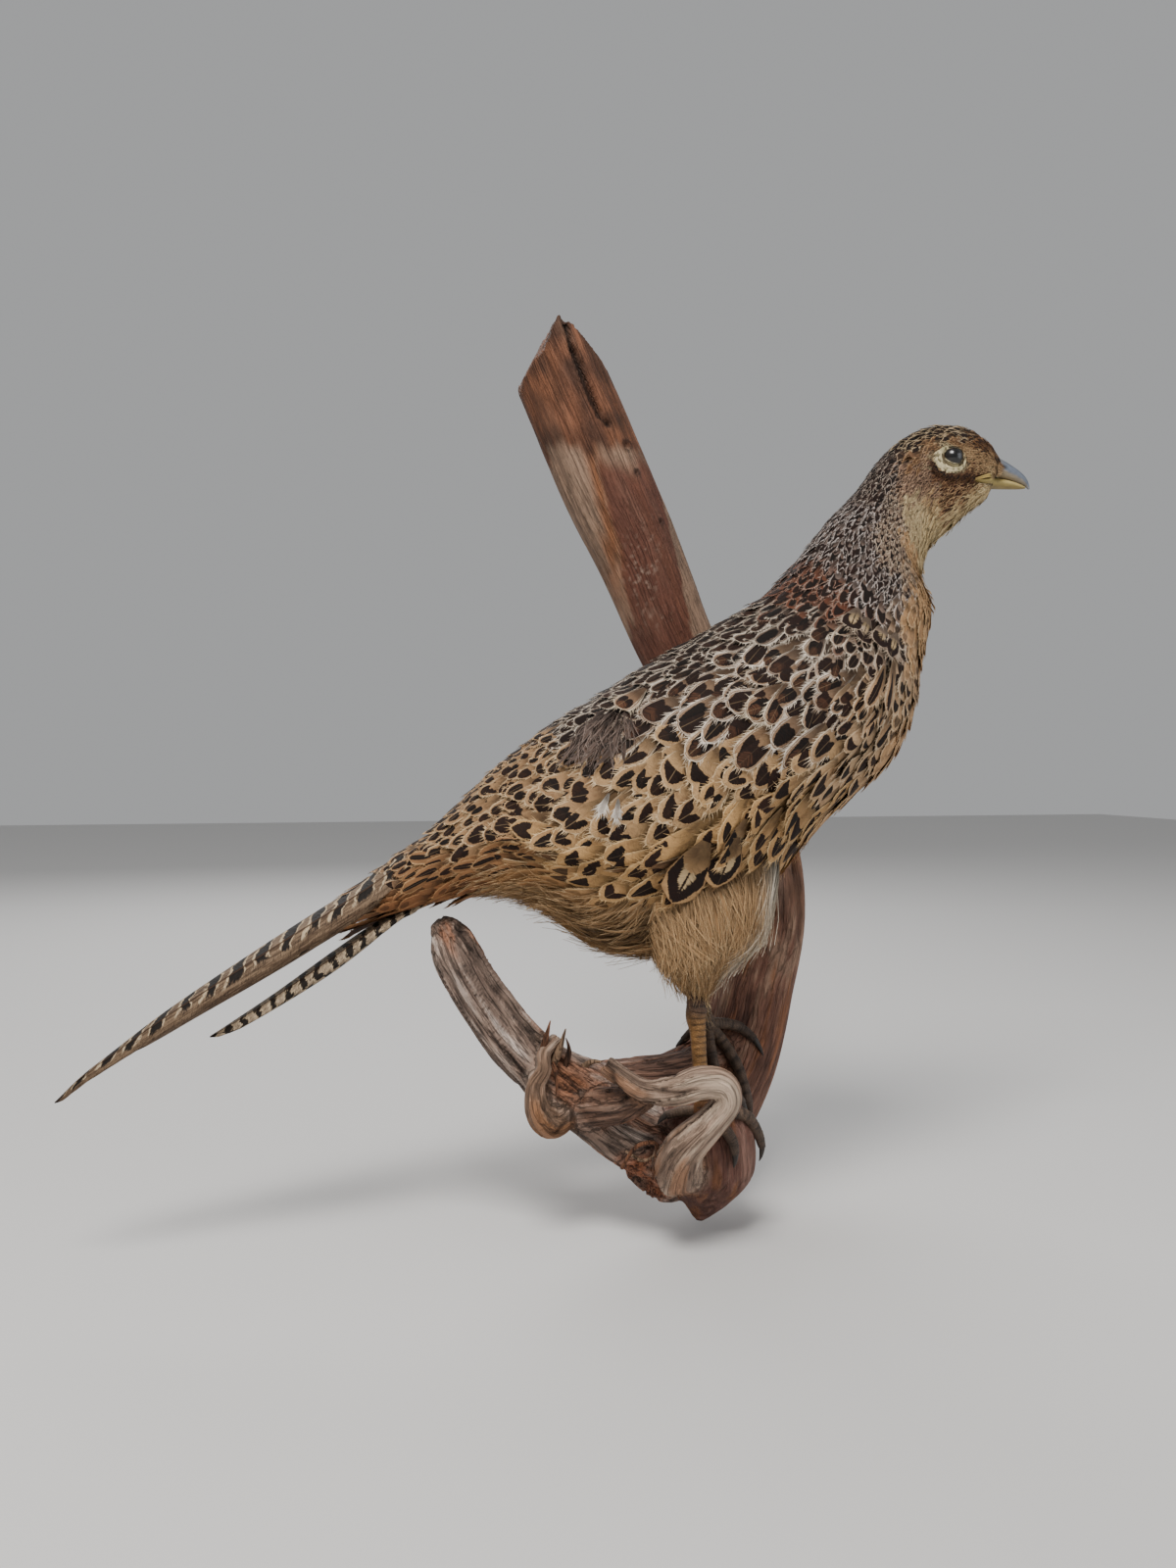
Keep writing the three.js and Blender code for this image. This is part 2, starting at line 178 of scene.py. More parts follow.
# --- meshes
def build_piece(name, parts, finish, nodes=(), crease=0):
    """Joins parts to one mesh piece. A part is an array of corners in metres, arrays of faces,
    per-corner fields by name, and often a map with a place for each corner of each face. Edges
    sharper than the crease, in degrees, stay sharp."""
    points, faces, fields, maps, start = [], [], {}, [], 0
    for corners, part_faces, part_fields, *uv in parts:
        points.append(corners)
        faces += [np.asarray(f) + start for f in part_faces if len(f)]
        for title, values in part_fields.items():
            fields.setdefault(title, []).append(values)
        maps += uv
        start += len(corners)
    mesh = bpy.data.meshes.new(name)
    corners = np.concatenate([f.ravel() for f in faces]).astype(np.int32)
    sizes = np.concatenate([np.full(len(f), f.shape[1]) for f in faces])
    starts = np.concatenate([[0], np.cumsum(sizes)[:-1]]).astype(np.int32)
    mesh.vertices.add(start)
    mesh.vertices.foreach_set("co", np.concatenate(points).astype(np.float32).ravel())
    mesh.loops.add(len(corners))
    mesh.loops.foreach_set("vertex_index", corners)
    mesh.polygons.add(len(sizes))
    mesh.polygons.foreach_set("loop_start", starts)
    mesh.update(calc_edges=True)
    mesh.polygons.foreach_set("use_smooth", np.ones(len(sizes), bool))
    for title, values in fields.items():
        layer = mesh.attributes.new(title, "FLOAT_COLOR", "POINT")
        layer.data.foreach_set("color", np.concatenate(values).astype(np.float32).ravel())
    if maps:
        layer = mesh.uv_layers.new(name="OFBake")
        layer.data.foreach_set("uv", np.concatenate(maps).astype(np.float32).ravel())
    if crease:
        mesh.set_sharp_from_angle(angle=math.radians(crease))
    mesh.materials.append(finish)
    piece = placed(name, mesh)
    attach(piece, "root")
    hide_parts(*nodes)


def grid_faces(rows, columns):
    """Four-cornered faces of a grid of corners whose last column joins its first."""
    r, c = np.meshgrid(np.arange(rows - 1), np.arange(columns), indexing="ij")
    n = (c + 1) % columns
    return joined(r * columns + c, r * columns + n, (r + 1) * columns + n,
                  (r + 1) * columns + c).reshape(-1, 4)


def fan_faces(ring, middle, turned=False):
    """Triangles from a closed ring of corners to one middle corner."""
    nxt = np.roll(ring, -1)
    faces = joined(ring, nxt, np.full_like(ring, middle))
    return faces[:, ::-1] if turned else faces


def shut_faces(rows, cols, turned=True):
    """Faces of rings of corners, shut at both ends by a fan round one more corner each."""
    n, grid = rows * cols, grid_faces(rows, cols)
    return [grid[:, ::-1] if turned else grid, fan_faces(np.arange(cols), n, not turned),
            fan_faces(np.arange(cols) + n - cols, n + 1, turned)]


def vane_faces(rows, cols):
    """One closed vane, whose rings have cols + 1 corners above and one below: its quads, the
    triangles at its ends, and which quads lie beneath."""
    ring = cols + 2
    fan = joined(np.full(cols, cols + 1), np.arange(cols), np.arange(1, cols + 1))
    return (grid_faces(rows, ring), np.concatenate([fan + (rows - 1) * ring, fan[:, ::-1]]),
            np.tile(np.arange(ring) >= cols, rows - 1))


# --- shader expressions
def connect(tree, socket, value):
    """Links a value or an output to a socket, or sets the socket to a number or a colour."""
    source = hue(value) if isinstance(value, str) else getattr(value, "socket", value)
    if isinstance(source, bpy.types.NodeSocket):
        tree.links.new(source, socket)
    elif socket.type == "RGBA":
        socket.default_value = (*source, 1.0)
    else:
        socket.default_value = source


def adds(operation):
    """A method that adds one Math node for an operation."""
    def method(self, *others):
        node = self.tree.nodes.new("ShaderNodeMath")
        node.operation = operation
        for socket, value in zip(node.inputs, (self, *others)):
            connect(self.tree, socket, value)
        return Value(self.tree, node.outputs[0])
    return method


class Value:
    """A number in a material. Its operators add Math nodes."""

    def __init__(self, tree, socket):
        self.tree, self.socket = tree, socket

    __add__ = __radd__ = adds("ADD")
    __mul__ = __rmul__ = adds("MULTIPLY")
    __sub__ = adds("SUBTRACT")
    __truediv__ = adds("DIVIDE")
    size = adds("ABSOLUTE")
    most = adds("MAXIMUM")
    power = adds("POWER")
    part = adds("FRACT")

    def __neg__(self):
        return self * -1.0

    def __rsub__(self, other):
        return -self + other

    def rise(self, low, high):
        """0 below low, 1 above high, smooth between them; either bound may be a Value."""
        node = self.tree.nodes.new("ShaderNodeMapRange")
        node.interpolation_type = "SMOOTHSTEP"
        for title, value in (("Value", self), ("From Min", low), ("From Max", high)):
            connect(self.tree, node.inputs[title], value)
        return Value(self.tree, node.outputs["Result"])


class Finish:
    """A material under way: adds nodes, mixes colours and sets what the surface shader reads."""

    def __init__(self, name, **fixed):
        self.material = bpy.data.materials.new(name)
        self.material.use_nodes = True
        self.tree = self.material.node_tree
        self.shader = self.tree.nodes["Principled BSDF"]
        for title, value in fixed.items():
            self.shader.inputs[title.replace("_", " ")].default_value = value

    def node(self, kind, settings=(), **values):
        """Any node, from its type, its settings and the values or links of its sockets."""
        made = self.tree.nodes.new(kind)
        for title, value in dict(settings).items():
            setattr(made, title, value)
        for title, value in values.items():
            connect(self.tree, made.inputs[title.replace("_", " ")], value)
        return made

    def field(self, title):
        """The four numbers that a mesh carries under one name."""
        made = self.node("ShaderNodeAttribute", {"attribute_name": title})
        split = self.node("ShaderNodeSeparateXYZ", Vector=made.outputs["Vector"])
        return [Value(self.tree, o) for o in (*split.outputs, made.outputs["Alpha"])]

    def tint(self, title):
        """The colour that a mesh carries under one name."""
        return self.node("ShaderNodeAttribute", {"attribute_name": title}).outputs["Color"]

    def place(self):
        """A point of the object, in metres."""
        return self.node("ShaderNodeTexCoord").outputs["Object"]

    def joined(self, x, y, z):
        """Three numbers as one place."""
        return self.node("ShaderNodeCombineXYZ", X=x, Y=y, Z=z).outputs[0]

    def noise(self, where, scale, detail=3.0, rough=.55, stretch=None):
        """Soft random numbers from 0 to 1 over a place."""
        if stretch is not None:
            where = self.node("ShaderNodeMapping", Vector=where, Scale=stretch).outputs[0]
        made = self.node("ShaderNodeTexNoise", Vector=where, Scale=scale, Detail=detail,
                         Roughness=rough)
        return Value(self.tree, made.outputs["Fac"])

    def cells(self, where, scale, feature="F1"):
        """Distance from the nearest of scattered points, or from the line between two of them."""
        made = self.node("ShaderNodeTexVoronoi", {"feature": feature}, Vector=where, Scale=scale)
        return Value(self.tree, made.outputs["Distance"])

    def mix(self, amount, below, above):
        """Lays one colour over another by an amount."""
        made = self.node("ShaderNodeMix", {"data_type": "RGBA"})
        for index, value in ((0, amount), (6, below), (7, above)):
            connect(self.tree, made.inputs[index], value)
        return made.outputs[2]

    def layered(self, colour, *layers):
        """Lays (amount, colour) pairs over a colour, one after another."""
        for amount, above in layers:
            colour = self.mix(amount, colour, above)
        return colour

    def shade(self, colour, amount):
        """A colour made lighter or darker by a number around 1."""
        return self.node("ShaderNodeVectorMath", {"operation": "SCALE"}, Vector=colour,
                         Scale=amount).outputs[0]

    def finish(self, colour, roughness, relief=None, depth=.0003, strength=1.0, coat=0.0):
        """Sets the surface's colour, roughness, clear coat and relief."""
        for title, value in (("Base Color", colour), ("Roughness", roughness),
                             ("Coat Weight", coat)):
            connect(self.tree, self.shader.inputs[title], value)
        if relief is not None:
            bump = self.node("ShaderNodeBump", Height=relief, Distance=depth, Strength=strength)
            connect(self.tree, self.shader.inputs["Normal"], bump.outputs["Normal"])
        return self.material


# --- the bird's form
# Cuts across the body from the bill to the tail, in millimetres: upper edge X, Z, lower edge X, Z
# and half width. They run out to the tips of the feathers.
BODY = [
    (169.5, 40, 165, 22, 7.5), (161, 48.5, 162, 15.5, 11.5), (149, 54, 153, 9, 14.5),
    (131, 53.5, 143.5, 0, 16), (114, 45, 133, -9, 16), (101, 32, 129, -18, 17),
    (89, 17, 129, -28, 20), (75, 3.5, 131, -38, 25), (60, -15, 129.5, -50, 32),
    (43, -33, 125, -70, 39), (21, -46, 121, -94, 45), (-2, -59, 109, -120, 49),
    (-23, -71, 87.5, -140, 51), (-46, -85, 60, -165, 51), (-63, -95, 33, -193, 48),
    (-80, -108, -2, -211, 44), (-96, -121.5, -37, -209, 38), (-111, -136, -66, -190, 32),
    (-123, -149.5, -94, -184, 26), (-135, -158.5, -116, -186, 21), (-146, -167, -136, -191, 17)]
# Tables by station, which counts the cuts: how deep the coat is, and the angle from the back, in
# degrees, of the folded wing's lower and upper edge.
COAT_DEPTH = [(0, .5), (1, 1.0), (2, 1.4), (4, 2.0), (6, 3.0), (8, 3.8), (10, 4.6), (13, 5),
              (16, 4.6), (18, 3.6), (20, 2.6)]
WING_LOWER = [(8.8, 95), (9.5, 108), (10.7, 121), (11.8, 125), (13.1, 118), (14.3, 107),
              (15.0, 101), (15.6, 93), (16.1, 84), (17, 74), (18, 68), (19, 66)]
WING_UPPER = [(8.8, 75), (9.5, 62), (10.8, 50), (12.4, 42), (14.1, 43), (15.7, 50), (17.5, 60)]
THIGH = [(44, -158, -24, -168, 11.5), (42, -176, -22, -186, 15), (34, -204, -15, -208, 14),
         (18, -218, -9, -219, 10.5), (8, -228, -1, -229, 5.5)]
# How far the throat and crop bulge forward at each station.
CROP_SWELL = [(4.8, 0), (5.4, -.9), (6.0, -2.2), (6.5, -1.6), (7.0, .6), (7.5, 2.7), (8.0, 3.4),
              (8.6, 2.8), (9.4, 2.2), (10.4, 2.4), (11.4, 1.6), (12.4, 0)]
EYE_CENTRE = np.array([139, 11.2, 35])  # X, distance from the middle plane, Z
EYE_RADIUS = 5.6


def side_angle(phi):
    """The angle from the back, 0 to 180 degrees, on either side."""
    return np.degrees(np.arccos(np.clip(np.cos(phi), -1, 1)))


def wing_swell(t, phi):
    """How far the folded wing stands out of the body: its thickness inside its outline."""
    a = side_angle(phi)
    upper, lower = along(WING_UPPER, t), along(WING_LOWER, t)
    return ((7 - .2 * t) * ramp(a, upper, upper + 22) * (1 - ramp(a, lower - 3, lower + 4))
            * ramp(t, 8.9, 10.4) * (1 - ramp(t, 16.6, 18.6)))


def body_surface(t, phi):
    """Middle of the cut plus its half height times cos phi, and out to the side by the half
    width times |sin phi| ** SQUARENESS; positive phi is the side away from the wall."""
    t, phi = np.broadcast_arrays(np.asarray(t, float), np.asarray(phi, float))
    tx, tz, bx, bz, half = np.moveaxis(spline(BODY, t), -1, 0)
    c, s = np.cos(phi), np.sin(phi)
    wide = half + wing_swell(t, phi)
    bx = bx + along(CROP_SWELL, t)
    return MM * joined((tx + bx) / 2 + (tx - bx) / 2 * c,
                       BIRD_Y - np.sign(s) * wide * np.abs(s) ** SQUARENESS,
                       (tz + bz) / 2 + (tz - bz) / 2 * c)


def thigh_surface(side):
    """The feathered leg of one side, in the same way; the left one is drawn up and forward."""
    dx, dz = (0, 0) if side > 0 else (12, 9)

    def surface(t, phi):
        tx, tz, bx, bz, half = np.moveaxis(spline(THIGH, t), -1, 0)
        c, s = np.cos(phi), np.sin(phi)
        return MM * joined((tx + bx) / 2 + dx + (tx - bx) / 2 * c,
                           BIRD_Y - side * 24 + half * np.sign(s) * np.abs(s) ** SQUARENESS,
                           (tz + bz) / 2 + dz + (tz - bz) / 2 * c)
    return surface


def lay_of(surface, t, phi):
    """Place, two tangents and outward normal of a surface, from small differences."""
    step = .004  # of a station, and of a radian
    here = surface(t, phi)
    down = (surface(t + step, phi) - surface(t - step, phi)) / (2 * step)
    around = (surface(t, phi + step) - surface(t, phi - step)) / (2 * step)
    return here, down, around, unit(np.cross(down, around))


# --- the markings
# Each kind of feather: ground and border colour; border width; place, half length and half width
# of the dark mark, and how far its sides bend back; its taper to the root; its notch at the
# shaft; patch inside it (above 0 chestnut, below 0 cream); its strength; then barb streaks, fine
# wavy bars, pale shaft and rings along the border.
KINDS = {
    "crown": ("21150e", "c9b18e", .34, .52, .42, .95, 0, 0, 0, 0, 1., .6, 0, 0, 0),
    "forehead": ("36200f", "8a6240", .32, .56, .36, .85, 0, 0, 0, 0, .9, .8, 0, 0, 0),
    "brow": ("6e4f34", "a98660", .26, .74, .18, .5, 0, 0, 0, 0, .55, .6, 0, 0, 0),
    "lore": ("86694a", "c4a478", .28, .76, .12, .4, 0, 0, 0, 0, .4, .7, 0, 0, 0),
    "line": ("65432e", "8f6c4b", .16, .62, .36, .8, 0, 0, 0, 0, .6, .7, 0, 0, 0),
    "ring": ("85765a", "bfb18c", .3, .6, .25, .6, 0, 0, 0, 0, .5, .6, 0, 0, 0),
    "ear": ("745a49", "b29478", .2, .72, .22, .5, 0, 0, 0, 0, .8, .8, 0, 0, 0),
    "malar": ("74452b", "cfae82", .3, .6, .3, .7, 0, 0, 0, 0, .9, .6, 0, 0, 0),
    "cheek": ("9b7e58", "c9ae84", .26, .76, .1, .5, 0, 0, 0, 0, .25, .8, 0, 0, 0),
    "throat": ("bfa577", "dcc99f", .3, .8, .05, .4, 0, 0, 0, 0, .05, .7, 0, 0, 0),
    "chaps": ("a18d6a", "bfac86", .28, .78, .08, .5, 0, 0, 0, 0, .15, .8, 0, 0, 0),
    "nape": ("4f4037", "a89a8e", .15, .71, .27, 1.05, .3, 0, 0, 0, 1., .6, 0, 0, 0),
    "neck": ("72635b", "c0b6b0", .15, .74, .23, 1.1, .35, 0, 0, 0, 1., .7, 0, 0, 0),
    "neckside": ("8a7564", "b8a690", .16, .77, .16, .95, .3, 0, 0, 0, 1., .7, 0, 0, 0),
    "neckfront": ("a07c56", "c4a47b", .25, .82, .08, .5, 0, 0, 0, 0, .12, .7, 0, 0, 0),
    "rufous": ("573121", "937868", .09, .78, .21, .85, .1, -.2, 0, 0, 1., .9, 0, 0, 0),
    "mantle": ("524339", "dccebb", .16, .7, .33, .74, .1, -.1, 0, .15, 1., .6, .1, .1, .6),
    "scapular": ("7d644e", "d6cbbc", .15, .7, .29, .8, .05, -.2, .3, .45, 1., .7, .2, .3, .8),
    "shoulder": ("8d7866", "cfbfaa", .15, .72, .24, .8, 0, -.1, .4, 0, 1., .6, .1, .2, .0),
    "spot": ("8d7866", "c3b29c", .1, .7, .36, 1.0, 0, -.3, 0, -.8, 1., .6, 0, .2, 0),
    "covert": ("a6855e", "cdb592", .11, .76, .145, .74, .05, -.35, .8, .05, 1., .8, .3, .5, .2),
    "covertlow": ("aa8557", "c9aa7e", .11, .77, .14, .72, .05, -.35, .8, .05, 1., .8, .3, .5, .1),
    "breast": ("ab8d6c", "cdb595", .16, .8, .12, .8, .1, -.2, .3, 0, 1., .7, .1, .2, 0),
    "front": ("b18b63", "caa985", .24, .84, .06, .6, 0, 0, 0, 0, .15, .6, 0, 0, 0),
    "streak": ("a1805f", "cdb89b", .26, .58, .44, .42, 0, .3, 0, 0, 1., .6, 0, .3, 0),
    "flank": ("a5825a", "6a4a2e", .04, .72, .3, 1.2, .2, -.3, 0, -.9, 1., .6, 0, .3, 0),
    "edged": ("7c6049", "d2c4ac", .14, .72, .26, .76, .05, -.2, .3, .7, 1., .7, .15, .3, .9),
    "side": ("9f7c52", "cbad80", .12, .76, .17, .72, .1, -.35, .6, 0, 1., .8, .2, .3, .15),
    "barred": ("a08a70", "c6b496", .2, .74, .1, .5, 0, 0, 0, 0, .3, .7, .5, .2, 1),
    "rump": ("977654", "cbb08a", .15, .74, .19, .72, 0, .2, .5, .1, 1., .7, .2, .4, .2),
    "lowrump": ("805b3b", "aa865d", .18, .72, .26, .36, 0, .1, 0, 0, 1., .7, 0, .3, 0),
    "undertail": ("7f5434", "a87c52", .2, .76, .12, .45, 0, 0, 0, 0, .5, .7, 0, .1, 0),
    "tailroot": ("86684e", "c4a987", .2, .72, .16, .85, .1, 0, 0, 0, 1., .7, .4, .2, 0),
    "downy": ("6a5a52", "96877d", .2, .7, .15, .5, 0, 0, 0, 0, .25, 1, 0, 0, 0),
    "belly": ("9f7c56", "cdb28b", .3, .7, .1, .5, 0, 0, 0, 0, .0, .9, 0, 0, 0),
    "vent": ("86623e", "b08c62", .2, .7, .15, .6, 0, 0, 0, 0, .3, .9, 0, 0, 0),
    "rim": ("2b180e", "5a3d28", .1, .5, .6, 1.2, 0, 0, 0, 0, 1., .6, 0, 0, 0),
    "pale": ("a39a90", "cdc5b8", .3, .7, .1, .4, 0, 0, 0, 0, .1, .8, 0, .3, 0),
    "flight": ("6a4f38", "bda27c", .26, .5, .05, .6, 0, 0, 0, 0, .4, .8, .8, .6, 0),
}
# Where each kind is at home: station and angle from the back.
HOMES = {
    "crown": [(1.2, 6), (1.5, 28), (2.2, 25), (2.2, 44), (3, 15), (3, 38), (3.6, 22)],
    "forehead": [(.4, 20), (.9, 40), (.3, 65), (1.5, 56), (1.2, 68)],
    "brow": [(2.3, 60), (3.1, 56), (3.8, 58)],
    "lore": [(.35, 84), (1.2, 82), (1.9, 84), (1.5, 92)],
    "line": [(3.35, 89), (3.0, 95), (2.6, 99), (2.2, 103), (1.8, 104)],
    "ring": [(2.83, 72), (3.2, 76), (2.5, 84)],
    "ear": [(3.75, 66), (3.6, 76), (4.2, 67), (3.9, 84), (4.6, 76), (3.4, 98)],
    "malar": [(3, 108), (2.6, 111), (2.9, 118), (2.3, 120), (3.3, 113)],
    "cheek": [(3.7, 108), (1.8, 122)],
    "chaps": [(4.4, 100), (4.4, 116), (4.8, 94), (5.1, 106)],
    "throat": [(.8, 130), (1.7, 137), (2.5, 142), (3.3, 138), (3.6, 125), (3, 165), (4.4, 150),
        (5, 165), (4.3, 122)],
    "nape": [(4.5, 14), (4.6, 45), (5.4, 15), (5.3, 50)],
    "neck": [(6.4, 10), (6.2, 45), (7.3, 15), (7.2, 55), (7.7, 85)],
    "neckside": [(5.2, 85), (6.2, 88), (6.9, 92)],
    "neckfront": [(5.6, 115), (5.7, 145), (6.6, 160), (7, 125), (7.5, 145), (8.2, 170),
        (8.4, 130)],
    "rufous": [(8.45, 4), (8.5, 26), (8.65, 45), (8.85, 62)],
    "mantle": [(9.3, 8), (9.4, 35), (9.5, 60), (10.2, 10), (10.1, 35), (11.2, 10), (11.1, 30),
        (12.5, 8), (12.3, 30), (13.6, 24)],
    "shoulder": [(9.3, 92), (9, 112)],
    "scapular": [(10.5, 56), (10, 86), (10.7, 76), (11.7, 66), (12.1, 50), (11.2, 90)],
    "covert": [(12.6, 76), (12.2, 94), (13, 90), (11.6, 108), (13.4, 66), (14.2, 78)],
    "covertlow": [(14.6, 92), (13.8, 102), (15.3, 84), (13, 110)],
    "breast": [(10, 112), (10.8, 124), (9.6, 132), (11.4, 138)],
    "streak": [(10.3, 116)],
    "front": [(9.2, 168), (10.2, 150), (11, 172), (12, 172)],
    "side": [(13.2, 134), (12.6, 146), (11.8, 146), (12.2, 130), (14, 120)],
    "barred": [(13.8, 152)],
    "edged": [(11.1, 78), (11.4, 86), (10.7, 70)],
    "belly": [(13.6, 172), (14.8, 150), (15.6, 172), (16.2, 130)],
    "vent": [(16.8, 150), (16.4, 112)],
    "rump": [(14.2, 62), (14.9, 18), (15.2, 36), (15.6, 62), (16.6, 25), (16.8, 60), (17.8, 30)],
    "lowrump": [(17.4, 82), (18.4, 75), (16.6, 92)],
    "undertail": [(17.8, 125), (18.8, 140), (19.4, 110)],
    "tailroot": [(19.4, 25), (19.6, 70)],
}
KIND_NUMBERS = {name: np.concatenate([hue(k[0]), hue(k[1]), k[2:]]) for name, k in KINDS.items()}
HOME_NUMBERS = np.array([KIND_NUMBERS[kind] for kind, places in HOMES.items() for _ in places])
HOME_PLACES = np.array([place for places in HOMES.values() for place in places])
GIRTH = [(0, 17), (2, 19), (4, 23), (6, 26), (8, 36), (10, 51), (12, 59), (14, 59), (15, 55),
         (16, 46), (17, 34), (18, 25), (20, 15)]  # mean radius of the body, in millimetres


def markings(t, phi, seed, wander=4.0):
    """Feather numbers at a place: the mean of all kinds, each counted by the inverse of its home's
    squared distance, cubed. Wander, in millimetres, moves the place at random."""
    rng = np.random.default_rng(seed)
    girth = along(GIRTH, t)
    reach = wander * np.clip(girth / 45, .3, 1)
    a = side_angle(phi) + rng.normal(0, 1, len(t)) * np.degrees(reach / girth)
    there = t + rng.normal(0, 1, len(t)) * reach / 24  # a station is 22 to 24 mm long
    steps = joined((there[:, None] - HOME_PLACES[:, 0]) * 22,
                   np.radians(a[:, None] - HOME_PLACES[:, 1]) * girth[:, None])
    share = 1 / (np.sum(steps ** 2, -1) + 6 * (girth[:, None] / 45) ** 2) ** 3
    return share @ HOME_NUMBERS / share.sum(1, keepdims=True)


# --- feathers
def rows_of_roots(stations, rows, pitch, seed, jitter, wide=1, coarse=1, surface=body_surface):
    """Roots in staggered rows. Tables by station give how far apart rows and the roots of a row
    are, in millimetres; wide and coarse multiply them. Jitter is in parts of those distances.
    Returns station, angle, the cell's size in both, and in metres."""
    rng = np.random.default_rng(seed)
    fine = np.linspace(-math.pi, math.pi, 721)  # twice a degree
    t, row, found = stations[0], 0, []
    while t < stations[1]:
        length = np.linalg.norm(surface(t + .05, .9) - surface(t - .05, .9)) * 1e4
        step = along(rows, t) * coarse / length  # millimetres over millimetres per station
        arc = np.linalg.norm(np.diff(surface(0 * fine + t, fine), axis=0), axis=1) * 1000
        count = np.concatenate([[0], np.cumsum(arc / (along(pitch, t) * wide * coarse))])
        places = np.arange(.25 + .5 * (row % 2), count[-1], 1.0)
        n = len(places)
        phi = np.interp(places + rng.normal(0, jitter, n), count, fine)
        cell = np.interp(places + .5, count, fine) - np.interp(places - .5, count, fine)
        here = np.full(n, t) + rng.normal(0, jitter, n) * step
        found.append(joined(here, phi, np.full(n, step), np.maximum(cell, 1e-4)))
        t, row = t + step, row + 1
    t, phi, dt, dphi = np.concatenate(found).T
    _, down, around, _ = lay_of(surface, t, phi)
    return dict(t=t, phi=phi, dt=dt, dphi=dphi, along=dt * np.linalg.norm(down, axis=1),
                across=dphi * np.linalg.norm(around, axis=1))


def only(roots, mask):
    """The roots that a mask picks."""
    return {key: value[mask] for key, value in roots.items()}


# What a shape of feather is taken to have where it says nothing. Lengths are in metres.
PLAIN = dict(roll=.1, curl=0, ruffle=.05, sway=.05, ragged=.03, lift=.0004, thick=.00025,
             spikes=0, barb=.0003)


